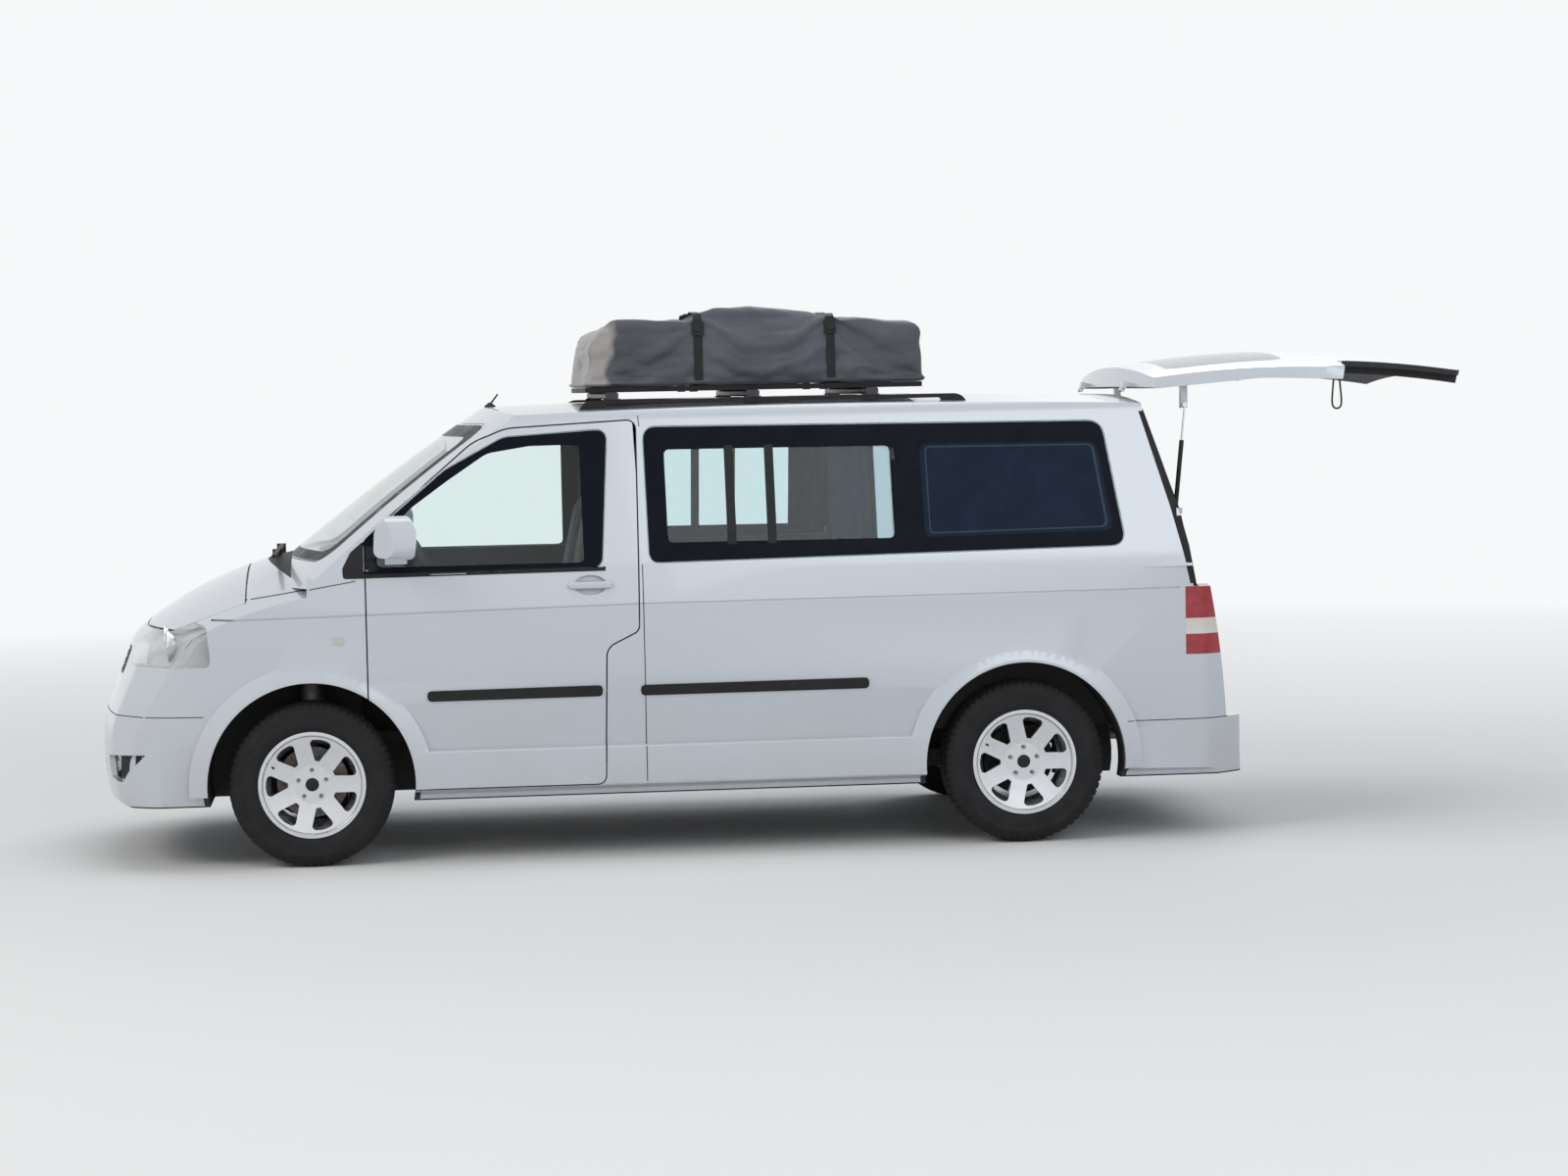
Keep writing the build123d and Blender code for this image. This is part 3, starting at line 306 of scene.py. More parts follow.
def cover_cloth():
    """Coated cover cloth: slate grey, its tied front end faded to a warm pale grey, worn along the folds."""
    color = (0.068, 0.073, 0.088)
    s = Shader("cover_cloth", color, Roughness=0.62, Sheen_Weight=0.35, Sheen_Roughness=0.4)
    cloudy = s.patchy(5.0, 6.0, 0.75, 1.25)
    streaks = s.range(s.noise(7.0, 6.0, s.stretched((0.5, 1.0, 4.0))), 0.45, 0.75, 0.0, 0.35)
    base = s.mix(streaks, tinted(s, color, cloudy), (0.125, 0.132, 0.148))
    edge = s.math("ADD", s.axis(0), s.patchy(6.0, 3.0, -0.035, 0.035))
    pale = s.range(edge, PALE_FROM, PALE_FULL, 0.0, 0.85)
    s.set("Base Color", s.mix(pale, base, (0.42, 0.39, 0.37)))
    s.weave(((1, 0, 1), (1, 0, -1)), 26.0, 0.4, 0.0003)
    return s.material


def banded_lamp():
    """Rear lamp: red above and below, a pale band between, with fine moulded ribs under the gloss."""
    s = Shader("rear_lamp", (0.5, 0.02, 0.02), Roughness=0.2, Coat_Weight=0.35, Coat_Roughness=0.03)
    z = s.axis(2)
    pale, amber = (s.all(s.less(low, z), s.less(z, PALE_HIGH)) for low in (PALE_LOW, AMBER_LOW))
    cloudy = s.patchy(30.0, 3.0, 0.75, 1.2)
    look = s.mix(pale, tinted(s, (0.36, 0.006, 0.014), cloudy), (0.72, 0.70, 0.68))
    s.set("Base Color", s.mix(s.math("MULTIPLY", amber, 0.25), look, (0.8, 0.5, 0.3)))
    ribs = s.add("TexWave", in_Vector=s.place(), in_Scale=60.0, bands_direction="Z").outputs[1]
    s.bump(ribs, 0.0004)
    return s.material


FINISH = {
    "body_paint": paint("silver_paint", masks=True),
    "bumper_paint": paint("silver_bumper", dust=0.45, masks=True),
    "gate_paint": paint("silver_gate", gate=True),
    "scuttle": paint("silver_scuttle", scuttle=True),
    "mirror_paint": paint("silver_mirror", arm=True),
    "glass": glazing("tinted_glass", (0.885, 0.955, 0.945)),
    "dark_glass": glazing("side_pane_glass", (0.76, 0.875, 0.885)),
    "gate_glass": glazing("gate_pane_glass", (0.55, 0.62, 0.63)),
    "lamp_clear": glazing("clear_lens", (0.97, 0.98, 0.98)),
    "lamp_red": banded_lamp(),
    "black_plastic": grained("black_plastic", BLACK),
    "interior_plastic": grained("cabin_plastic", (0.06, 0.06, 0.065)),
    "interior_fabric": cloth("seat_cloth", (0.075, 0.08, 0.095)),
    "tent_fabric": cover_cloth(),
    "webbing": cloth("webbing", (0.012, 0.012, 0.013)),
    "rail_metal": metal("black_rail", (0.03, 0.03, 0.032), 0.4),
    "bar_metal": metal("dark_bar", (0.06, 0.06, 0.065), 0.4),
    "chassis": grained("chassis_paint", (0.02, 0.02, 0.02), 300.0, 0.6, 0.0004),
    "cast_metal": metal("cast_block", (0.25, 0.25, 0.26), 0.55),
    "exhaust_metal": metal("exhaust_steel", (0.30, 0.27, 0.25), 0.45),
    "rod_metal": metal("polished_rod", (0.75, 0.75, 0.77), 0.12),
    "rim": metal("alloy", (0.66, 0.67, 0.69), 0.32),
    "tyre": grained("tyre_rubber", (0.013, 0.013, 0.014), 500.0, 0.75, 0.0003),
    "hub_metal": metal("hub_steel", (0.22, 0.2, 0.19), 0.5),
    "ink": grained("black_print", (0.004, 0.006, 0.011), 1200.0, 0.30, 0.00002, 0.06),
    "film": grained("pane_film", (0.005, 0.014, 0.034), 900.0, 0.28, 0.00001, 0.08),
    "film_line": grained("film_edge", (0.04, 0.055, 0.08), 900.0, 0.3, 0.00001, 0.1),
    "blind": cloth("blind_cloth", (0.012, 0.022, 0.044), 500.0, 0.0003, 0.8, 0.05),
    "clear_plastic": grained("indicator_lens", (0.62, 0.60, 0.56), 400.0, 0.2, 0.0002),
    "seal": grained("rubber_seal", (0.012, 0.012, 0.013), 700.0, 0.6, 0.0002),
    "mirror_glass": metal("mirror_glass", (0.85, 0.87, 0.88), 0.03),
    "reflector": metal("lamp_reflector", (0.88, 0.88, 0.89), 0.10),
    "lamp_back": grained("lamp_housing", (0.55, 0.56, 0.57), 300.0, 0.4, 0.0003),
}
# Slots of the finishes that aren't named after their slot, and the nodes that have a finish of their own
OWN_FINISH = {
    "cowl_panel": "scuttle",
    "tailgate": "gate_paint",
    "tailgate_glass": "gate_glass",
    "door_mirror_left": "mirror_paint",
    "door_mirror_right": "mirror_paint",
}


SMOOTH_BELOW = 24.0
MERGE_WITHIN = 0.00002


def smooth_group():
    """Node group for CAD nodes: one skin, smooth across shallow edges and sharp at real ones."""
    group = Nodes(bpy.data.node_groups.new("cad_smooth", "GeometryNodeTree"), "")
    for way in ("INPUT", "OUTPUT"):
        group.tree.interface.new_socket("Geometry", in_out=way, socket_type="NodeSocketGeometry")
    chain = [group.add("NodeGroupInput")]
    for kind, values in (("MergeByDistance", {"in_Distance": MERGE_WITHIN}),
                         ("RemoveAttribute", {"in_Name": "custom_normal"}), ("SetShadeSmooth", {})):
        chain.append(group.add("GeometryNode" + kind, in_0=chain[-1].outputs[0], **values))
    angle = group.add("GeometryNodeInputMeshEdgeAngle").outputs["Unsigned Angle"]
    over = group.add("FunctionNodeCompare", operation="GREATER_THAN", in_0=angle, in_1=radians(SMOOTH_BELOW))
    sharp = group.add("GeometryNodeStoreNamedAttribute", data_type="BOOLEAN", domain="EDGE",
                      in_0=chain[-1].outputs[0], in_Name="sharp_edge", in_Value=over.outputs[0])
    group.add("NodeGroupOutput", in_0=sharp.outputs[0])
    return group.tree


skin = smooth_group()
slot_of = {row["node"]: row["material_slot"] for row in frame["record"]["subparts"]}
for name, node in nodes.items():
    node.data.materials.clear()
    node.data.materials.append(FINISH[OWN_FINISH.get(name, slot_of[name])])
    node.modifiers.new("skin", "NODES").node_group = skin


def rounded(rows, steps=6):
    """Closed outline from rows of a, b, corner radius, with each corner as a short arc."""
    points = []
    count = len(rows)
    for i, (a, b, radius) in enumerate(rows):
        here = Vector((a, b))
        back = Vector(rows[i - 1][:2]) - here
        on = Vector(rows[(i + 1) % count][:2]) - here
        if radius == 0:
            points.append(here)
            continue
        half = back.angle(on) / 2
        reach = min(radius * cos(half) / sin(half), back.length * 0.48, on.length * 0.48)
        start, end = here + back.normalized() * reach, here + on.normalized() * reach
        for k in range(steps + 1):
            t = k / steps
            points.append(start * (1 - t) ** 2 + here * 2 * t * (1 - t) + end * t**2)
    return points


def side_loop(*rows):
    """Closed outline from rows of x, z, corner radius in millimetres from mid-wheelbase."""
    return rounded([(x / 1000 + MID, z / 1000, r / 1000) for x, z, r in rows])


def side_strip(start, end, radius):
    """Outline of a strip between two upright ends, each as x, low z, high z in millimetres."""
    (x0, low0, high0), (x1, low1, high1) = start, end
    return side_loop((x0, low0, radius), (x0, high0, radius), (x1, high1, radius), (x1, low1, radius))


def add_object(name, data, finish, body="body"):
    piece = placed(name, data)
    data.materials.append(FINISH[finish])
    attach(piece, body)
    return piece


def from_bmesh(name, bm, finish, body="body", smooth=True):
    bmesh.ops.recalc_face_normals(bm, faces=bm.faces)
    mesh = bpy.data.meshes.new(name)
    bm.to_mesh(mesh)
    bm.free()
    for face in mesh.polygons:
        face.use_smooth = smooth
    if smooth:
        mesh.set_sharp_from_angle(angle=radians(35))
    return add_object(name, mesh, finish, body)


def points_in(geometry):
    return [g for g in geometry if isinstance(g, bmesh.types.BMVert)]


def fill_grid(bm, grid):
    """Faces between the rows of a grid of points."""
    for first, second in zip(grid, grid[1:]):
        for a, b, c, d in zip(first, first[1:], second[1:], second):
            bm.faces.new((a, b, c, d))


def walled(piece, offset):
    """Gives a sheet a wall of 2 mm."""
    wall = piece.modifiers.new("wall", "SOLIDIFY")
    wall.thickness, wall.offset = 0.002, offset


def tree_of(mesh):
    """Ray target made of a mesh."""
    faces = [list(p.vertices) for p in mesh.polygons]
    return BVHTree.FromPolygons([v.co.copy() for v in mesh.vertices], faces)


@lru_cache
def skin_tree(*names):
    """Ray target made of CAD nodes."""
    points, faces = [], []
    for name in names:
        start = len(points)
        mesh = nodes[name].data
        points += [v.co.copy() for v in mesh.vertices]
        faces += [[start + i for i in p.vertices] for p in mesh.polygons]
    return BVHTree.FromPolygons(points, faces)


def flat_fill(loops):
    """Filled flat mesh in u, v from closed outlines: the first is the edge, the others are holes."""
    data = bpy.data.curves.new("fill", "CURVE")
    data.dimensions = "2D"
    data.fill_mode = "BOTH"
    for loop in loops:
        spline = data.splines.new("POLY")
        spline.points.add(len(loop) - 1)
        for point, (u, v) in zip(spline.points, loop):
            point.co = (u, v, 0, 1)
        spline.use_cyclic_u = True
    holder = bpy.data.objects.new("fill", data)
    bm = bmesh.new()
    bm.from_mesh(holder.to_mesh())
    holder.to_mesh_clear()
    bpy.data.objects.remove(holder)
    bpy.data.curves.remove(data)
    return bm


# view: how u, v and the way inward lie in the frame
VIEWS = {
    "left": (X, Z, -Y),
    "right": (X, Z, Y),
    "front": (Y, Z, -X),
    "back": (Y, Z, X),
}


def drape(name, loops, view, tree, lift, depth, finish, step, body="body", bevel=0):
    """A thin piece cut to flat outlines and laid on a surface: lift proud of it and depth thick."""
    along, up, inward = VIEWS[view]
    bm = flat_fill(loops)
    for axis, normal in enumerate((X, Y)):
        low = min(v.co[axis] for v in bm.verts)
        high = max(v.co[axis] for v in bm.verts)
        for k in range(1, int((high - low) / step) + 1):
            geometry = bm.verts[:] + bm.edges[:] + bm.faces[:]
            bmesh.ops.bisect_plane(bm, geom=geometry, plane_co=normal * (low + k * step), plane_no=normal)
    bmesh.ops.triangulate(bm, faces=[f for f in bm.faces if len(f.verts) > 4])
    hits, misses = [], []
    for vert in bm.verts:
        u, v = vert.co.x, vert.co.y
        start = along * u + up * v - inward * 6
        place = tree.ray_cast(start, inward)[0]
        if place is None:
            misses.append(vert)
            vert.co = start
        else:
            vert.co = place - inward * lift
            hits.append(vert.co.copy())
    for vert in misses:
        near = min(hits, key=lambda other: (other - vert.co).dot(along) ** 2 + (other - vert.co).dot(up) ** 2)
        vert.co = vert.co + inward * (near - vert.co).dot(inward)
    made = bmesh.ops.extrude_face_region(bm, geom=bm.faces[:])["geom"]
    bmesh.ops.translate(bm, verts=points_in(made), vec=inward * depth)
    piece = from_bmesh(name, bm, finish, body)
    if bevel:
        edge = piece.modifiers.new("edge", "BEVEL")
        edge.width, edge.segments, edge.limit_method, edge.angle_limit = bevel, 2, "ANGLE", radians(50)


def lathe(name, profile, segments, place, finish, body, closed=True, ripple=None):
    """Revolves rows of radius, y about Y through place. ripple(row, step, radius) changes a radius."""
    bm = bmesh.new()
    rings = []
    for j in range(segments):
        turn = 2 * pi * j / segments
        ring = []
        for i, (radius, y) in enumerate(profile):
            r = radius if ripple is None else ripple(i, j, radius)
            ring.append(bm.verts.new((place[0] + r * cos(turn), place[1] + y, place[2] + r * sin(turn))))
        rings.append(ring)
    count = len(profile) if closed else len(profile) - 1
    for j in range(segments):
        first, second = rings[j], rings[(j + 1) % segments]
        for i in range(count):
            k = (i + 1) % len(profile)
            bm.faces.new((first[i], first[k], second[k], second[i]))
    bmesh.ops.remove_doubles(bm, verts=bm.verts, dist=1e-5)
    return from_bmesh(name, bm, finish, body)


def turned(name, profile, segments, matrix, finish):
    """An open turned piece on the body, set in its place by a matrix."""
    lathe(name, profile, segments, (0, 0, 0), finish, "body", False).data.transform(matrix)


def round_curve(name, points, radius, kind, rounds):
    """A curve through points with a round section, and its spline."""
    data = bpy.data.curves.new(name, "CURVE")
    data.dimensions, data.bevel_depth, data.bevel_resolution, data.use_fill_caps = "3D", radius, rounds, True
    spline = data.splines.new(kind)
    spline.points.add(len(points) - 1)
    for point, place in zip(spline.points, points):
        point.co = (*place, 1)
    return data, spline


def tube(name, points, radius, finish, body="body"):
    """A round bead along points, as a mesh."""
    data = round_curve(name, points, radius, "POLY", 3)[0]
    holder = bpy.data.objects.new(name, data)
    mesh = bpy.data.meshes.new_from_object(holder)
    bpy.data.objects.remove(holder)
    bpy.data.curves.remove(data)
    mesh.shade_smooth()
    return add_object(name, mesh, finish, body)


# Outer side of the body as z, half width
SECTION = ((0.24, 0.87), (0.43, 0.916), (0.76, 0.942), (1.062, 0.938), (1.23, 0.914), (1.868, 0.762))


def half_width(z):
    """Half width of the body's outer side at a height."""
    for (z0, y0), (z1, y1) in zip(SECTION, SECTION[1:]):
        if z <= z1:
            return y0 + (y1 - y0) * (z - z0) / (z1 - z0)
    return SECTION[-1][1]


# Outlines on the van's sides, in millimetres from mid-wheelbase
DOOR_PANE = side_loop((1316, 1210, 20), (1304, 1312, 25), (920, 1633, 300), (672, 1765, 130), (238, 1790, 45),
                      (277, 1218, 45))
DOOR_CLEAR = side_loop((1215, 1240, 30), (1195, 1352, 60), (1060, 1483, 200), (911, 1589, 150),
                       (742, 1700, 120), (565, 1727, 80), (356, 1729, 25), (350, 1240, 25))
DOOR_BELT = side_strip((1330, 1196, 1213), (262, 1203, 1221), 4)
SIDE_PANE = side_loop((76, 1232, 45), (85, 1796, 55), (-1874, 1782, 70), (-1950, 1256, 55))
MIDDLE_CLEAR = side_loop((-4, 1312, 25), (0, 1700, 25), (-958, 1697, 25), (-962, 1309, 25))
REAR_CLEAR = side_loop((-1092, 1308, 30), (-1086, 1700, 30), (-1850, 1696, 45), (-1903, 1318, 40))
REAR_FRAME = side_loop((-1112, 1322, 20), (-1108, 1690, 20), (-1836, 1686, 35), (-1882, 1332, 30))
FRAME_INSIDE = side_loop((-1118, 1328, 16), (-1114, 1684, 16), (-1826, 1680, 30), (-1871, 1338, 26))
BLIND = side_loop((-1080, 1296, 10), (-1080, 1712, 10), (-1868, 1708, 20), (-1912, 1304, 10))
SLIDER_BARS = [side_strip((x - 19, 1300, 1712), (x + 19, 1300, 1712), 4) for x in (-273, -443)]
DOOR_RUB = side_strip((1015, 678, 722), (287, 680, 726), 20)
PANEL_RUB = side_strip((127, 678, 722), (-835, 680, 726), 20)
INDICATOR = side_strip((1402, 925, 957), (1354, 925, 957), 6)
MIRROR_FOOT = side_loop((1350, 1196, 14), (1352, 1239, 20), (1318, 1304, 30), (1264, 1350, 6),
                        (1264, 1196, 6))
PILLAR_SEAL = side_loop((-2060, 1820, 0), (-2192, 1405, 0), (-2251, 1084, 0), (-2228, 1084, 0),
                        (-2155, 1405, 0), (-2042, 1820, 0))
PANEL_OF = {"left": "side_panel_left", "right": "sliding_door_right"}

# Black print lies this far proud of a pane, and is this thick
PRINT = (0.0006, 0.0012)
PANES = ["side_glass"]

# name, outlines, nodes below, lift and depth, finish, grid step, and where wanted body, bevel. {} is the side
SIDE_PIECES = (
    ("door_band", [DOOR_PANE, DOOR_CLEAR], ["door_glass_{}"], PRINT, "ink", 0.06, "door_{}"),
    ("window_band", [SIDE_PANE, MIDDLE_CLEAR, REAR_CLEAR], PANES, PRINT, "ink", 0.08),
    ("slider_bar_0", [SLIDER_BARS[0]], PANES, (0.002, 0.010), "black_plastic", 0.1, "body", 0.002),
    ("slider_bar_1", [SLIDER_BARS[1]], PANES, (0.002, 0.010), "black_plastic", 0.1, "body", 0.002),
    ("rear_film", [REAR_CLEAR], PANES, (0.0003, 0.0009), "film", 0.08),
    ("rear_frame_line", [REAR_FRAME, FRAME_INSIDE], PANES, PRINT, "film_line", 0.08),
    ("door_belt", [DOOR_BELT], ["front_door_{}", "door_glass_{}"], (0.002, 0.006), "seal", 0.03, "door_{}"),
    ("window_blind", [BLIND], PANES, (-0.03, 0.004), "blind", 0.1),
    ("rub_strip_door", [DOOR_RUB], ["front_door_{}"], (0.007, 0.010), "black_plastic", 0.1, "door_{}", 0.003),
    ("rub_strip_panel", [PANEL_RUB], ["{panel}"], (0.007, 0.010), "black_plastic", 0.1, "body", 0.003),
    ("side_indicator", [INDICATOR], ["front_wings"], (0.004, 0.008), "clear_plastic", 0.1, "body", 0.002),
    ("mirror_foot", [MIRROR_FOOT], ["front_wings", "body_shell"], (0.002, 0.004), "black_plastic", 0.08),
    ("pillar_seal", [PILLAR_SEAL], ["side_panel_{}", "body_shell"], (0.0012, 0.004), "seal", 0.018),
)
for side, sign in SIDES:
    for name, loops, below, (lift, depth), finish, step, *rest in SIDE_PIECES:
        tree = skin_tree(*(node.format(side, panel=PANEL_OF[side]) for node in below))
        rest[:1] = [body.format(side) for body in rest[:1]]
        drape(f"{name}_{side}", loops, side, tree, lift, depth, finish, step, *rest)

# Tyres: rows of radius, y up one side wall and over the shoulder, four grooves, and the same mirrored
TYRE_RADIUS = 0.343
TREAD_BLOCKS = 64
BLOCK_TURNS = 4
HALF_TYRE = [(0.2035, -0.085), (0.222, -0.089), (0.229, -0.097), (0.233, -0.098), (0.235, -0.1005),
             (0.252, -0.1062), (0.272, -0.1072), (0.293, -0.1066), (0.296, -0.1078), (0.299, -0.1066),
             (0.312, -0.1030), (0.322, -0.0985), (0.3345, -0.0915), (0.3400, -0.0830)]
GROOVES = (-0.048, -0.016, 0.016, 0.048)
GROOVE_TOP, GROOVE_FOOT, GROOVE_DEEP = 0.0055, 0.0030, 0.008
tread = []
for y in GROOVES:
    tread += [(TYRE_RADIUS, y - GROOVE_TOP), (TYRE_RADIUS - GROOVE_DEEP, y - GROOVE_FOOT),
              (TYRE_RADIUS - GROOVE_DEEP, y + GROOVE_FOOT), (TYRE_RADIUS, y + GROOVE_TOP)]
tyre_profile = HALF_TYRE + tread + [(r, -y) for r, y in reversed(HALF_TYRE)]
RIBS_END, SHOULDER_FOOT = 0.052, 0.320
SHOULDER_ROWS = [i for i, (r, y) in enumerate(tyre_profile) if abs(y) > RIBS_END and r > SHOULDER_FOOT]
RIB_ROWS = [i for i, (r, y) in enumerate(tyre_profile) if abs(y) < RIBS_END and r > TYRE_RADIUS - 0.001]
SHOULDER_CUT, RIB_CUT = 0.0065, 0.0025


def block_radius(i, j, radius):
    """Shoulder blocks are parted by grooves across, and the middle ribs by finer cuts half a pitch on."""
    if i in SHOULDER_ROWS and j % BLOCK_TURNS == 0:
        return radius - SHOULDER_CUT
    if i in RIB_ROWS and (j + BLOCK_TURNS // 2) % BLOCK_TURNS == 0:
        return radius - RIB_CUT
    return radius


# Centre cap, bolts and valve of a wheel, with y measured out from the wheel's middle
WHEEL_Y = 0.814
CAP = ((0.0, 0.0755), (0.012, 0.0752), (0.022, 0.0740), (0.0275, 0.0715), (0.029, 0.0680), (0.029, 0.0600))
BOLTS, BOLT_CIRCLE, BOLT_Y = 5, 0.06, 0.0575
BOLT_FOOT, BOLT_HEAD, BOLT_LONG = 0.0085, 0.0078, 0.012
VALVE_TURN, VALVE_CIRCLE, VALVE_Y = 0.45, 0.192, 0.070
VALVE_IN, VALVE_OUT, VALVE_RADIUS = 0.020, 0.022, 0.0042
for end, axle in AXLES.items():
    for side, sign in SIDES:
        name, body = f"{end}_{side}", f"wheel_{end}_{side}"
        place = (axle, WHEEL_Y * sign, AXLE_Z)
        rubber = lathe("tyre_tread_" + name, tyre_profile, TREAD_BLOCKS * BLOCK_TURNS, place,
                       "tyre", body, True, block_radius)
        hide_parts("tyre_" + name)
        lathe("centre_cap_" + name, [(r, y * sign) for r, y in CAP], 48, place, "black_plastic", body, False)
        bm = bmesh.new()
        for k in range(BOLTS):
            turn = 2 * pi * k / BOLTS + pi / 2
            centre = Vector(place) + Vector((BOLT_CIRCLE * cos(turn), BOLT_Y * sign, BOLT_CIRCLE * sin(turn)))
            spin = Matrix.Translation(centre) @ Matrix.Rotation(-sign * pi / 2, 4, "X")
            bmesh.ops.create_cone(bm, cap_ends=True, segments=6, radius1=BOLT_FOOT, radius2=BOLT_HEAD,
                                  depth=BOLT_LONG, matrix=spin)
        from_bmesh("wheel_bolts_" + name, bm, "hub_metal", body, False)
        way = Vector((cos(VALVE_TURN), 0, sin(VALVE_TURN)))
        foot = Vector(place) + way * VALVE_CIRCLE + Vector((0, VALVE_Y * sign, 0))
        tip = foot - way * VALVE_IN + Vector((0, VALVE_OUT * sign, 0))
        tube("valve_" + name, [foot, tip], VALVE_RADIUS, "black_plastic", body)

# Pull loop of the tailgate: a limp cord whose two ends go into the gate. Half of it as x, z
LOOP_HALF = ((0.010, 1.9780), (0.012, 1.950), (0.017, 1.900), (0.022, 1.845), (0.018, 1.817), (0.0, 1.808))
LOOP_X, LOOP_Y = -2.985 + MID, 0.520
LOOP_THICK = 0.008
loop_points = [(LOOP_X - x, LOOP_Y, z) for x, z in LOOP_HALF]
loop_points += [(LOOP_X + x, LOOP_Y, z) for x, z in LOOP_HALF[-2::-1]]
loop_curve, spline = round_curve("pull_cord", loop_points, LOOP_THICK / 2, "NURBS", 5)
loop_curve.resolution_u = 8
spline.use_endpoint_u = True
spline.order_u = 3
pull_cord = add_object("pull_cord", loop_curve, "webbing", "tailgate")
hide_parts("pull_loop")


TENT_VOXEL, SEAT_VOXEL, QUICK_VOXEL = 0.019, 0.013, 0.03
FRAMES = 20


def baked(piece):
    """Applies a piece's modifiers to its mesh."""
    graph = bpy.context.evaluated_depsgraph_get()
    mesh = bpy.data.meshes.new_from_object(piece.evaluated_get(graph))
    piece.modifiers.clear()
    piece.data = mesh
    return piece


def remeshed(node, voxel):
    mesh = nodes[node].data.copy()
    copy = placed(node + "_soft", mesh)
    merge = bmesh.new()
    merge.from_mesh(mesh)
    bmesh.ops.remove_doubles(merge, verts=merge.verts, dist=MERGE_WITHIN)
    merge.to_mesh(mesh)
    merge.free()
    remesh = copy.modifiers.new("remesh", "REMESH")
    remesh.mode, remesh.voxel_size = "VOXEL", voxel
    return baked(copy)


def settled(piece, pinned, pressure, gravity, shrink, cap):
    """Runs cloth on a piece and keeps the result, with each point's move capped."""
    before = [v.co.copy() for v in piece.data.vertices]
    group = piece.vertex_groups.new(name="pin")
    group.add([i for i, place in enumerate(before) if pinned(place)], 1.0, "REPLACE")
    cloth_modifier = piece.modifiers.new("cloth", "CLOTH")
    settings = cloth_modifier.settings
    settings.vertex_group_mass = "pin"
    settings.quality = 4
    settings.mass = 0.4
    settings.tension_stiffness = settings.compression_stiffness = 12
    settings.shear_stiffness = 4
    settings.bending_stiffness = 0.4
    settings.shrink_min = shrink
    settings.use_pressure = pressure > 0
    settings.uniform_pressure_force = pressure
    settings.effector_weights.gravity = gravity
    cloth_modifier.collision_settings.use_collision = False
    cloth_modifier.point_cache.frame_end = FRAMES
    for step in range(1, FRAMES + 1):
        bpy.context.scene.frame_set(step)
    graph = bpy.context.evaluated_depsgraph_get()
    moved = [v.co.copy() for v in piece.evaluated_get(graph).data.vertices]
    piece.modifiers.clear()
    piece.vertex_groups.clear()
    for vert, start, end in zip(piece.data.vertices, before, moved):
        shift = end - start
        vert.co = start + shift * min(1.0, cap / shift.length) if shift.length > 1e-9 else start
    bpy.context.scene.frame_set(1)


def pushed(piece, depth):
    """Moves each point of a mesh along its normal by depth(place)."""
    normals = [v.normal.copy() for v in piece.data.vertices]
    for vert, normal in zip(piece.data.vertices, normals):
        vert.co += normal * depth(vert.co)


def finish_soft(piece, name, slot):
    """Names a soft piece, gives it its slot's finish and one subdivision, and rides it on the body."""
    piece.name = piece.data.name = name
    piece.data.materials.clear()
    piece.data.materials.append(FINISH[slot])
    subdivision = piece.modifiers.new("subdivision", "SUBSURF")
    subdivision.levels = subdivision.render_levels = 1
    baked(piece)
    piece.data.shade_smooth()
    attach(piece, "body")


def bell(distance, reach):
    """1 in the middle, falling off like a bell with the distance."""
    return exp(-(distance / reach) ** 2)


def wave(x, y, z):
    return noise.noise(Vector((x, y, z)))


# Folded roof tent in its travel cover: remeshed from its solid, creased, then settled as cloth
STRAP_X = (-0.175 + MID, -0.745 + MID)
LONG_FOLD, FINE_FOLD, CROSS_FOLD = 0.020, 0.012, 0.008
STRAP_PINCH, PINCH_REACH = 0.020, 0.055
STRAP_GATHER, GATHER_REACH = 0.010, 0.14
TIE_REACH, TIE_FOLD, TIE_PINCH = 0.20, 0.016, 0.018
HEM, HEM_SHARE = 0.02, 0.2
HEM_PINNED, STRAP_PINNED = 0.03, 0.022
FOLD_CAP = 0.024
tent_low, tent_high = (Vector(v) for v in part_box("tent_cover"))
tent_middle = (tent_low + tent_high) / 2
tie_z = tent_middle.z - 0.02


def tent_fold(place):
    """How far the cover stands in or out at a point: long folds, a pinch at each strap, a tied end."""
    x, y, z = place
    depth = LONG_FOLD * wave(x * 2.2, y * 2.2, z * 13.0 + x * 1.5)
    depth -= FINE_FOLD * abs(wave(x * 6.0 + 7.0, y * 6.0, z * 30.0 - x * 6.0))
    depth += CROSS_FOLD * wave(x * 9.0 - 3.0, y * 3.0, z * 5.0 + 11.0)
    for strap in STRAP_X:
        depth -= STRAP_PINCH * bell(x - strap, PINCH_REACH)
        depth += STRAP_GATHER * wave(strap * 5, y * 16.0, z * 16.0) * bell(x - strap, GATHER_REACH)
    tied = max(0.0, min(1.0, (x - (tent_high.x - TIE_REACH)) / TIE_REACH))
    if tied:
        toward = Vector((0, y, z - tie_z))
        turn = wave(y * 7, toward.z * 14, 3.0) + 0.6 * sin(9 * toward.angle(Y, 0))
        depth += tied * (TIE_FOLD * turn - TIE_PINCH)
    if z < tent_low.z + HEM:
        depth = min(depth, 0.0) * HEM_SHARE
    return depth


def cover_pinned(place):
    return place.z < tent_low.z + HEM_PINNED or min(abs(place.x - strap) for strap in STRAP_X) < STRAP_PINNED


cover = remeshed("tent_cover", TENT_VOXEL)
pushed(cover, tent_fold)
settled(cover, cover_pinned, 0.15, 0.6, -0.03, FOLD_CAP)
finish_soft(cover, "tent_cover_cloth", "tent_fabric")
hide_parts("tent_cover")
cover_tree = tree_of(cover.data)

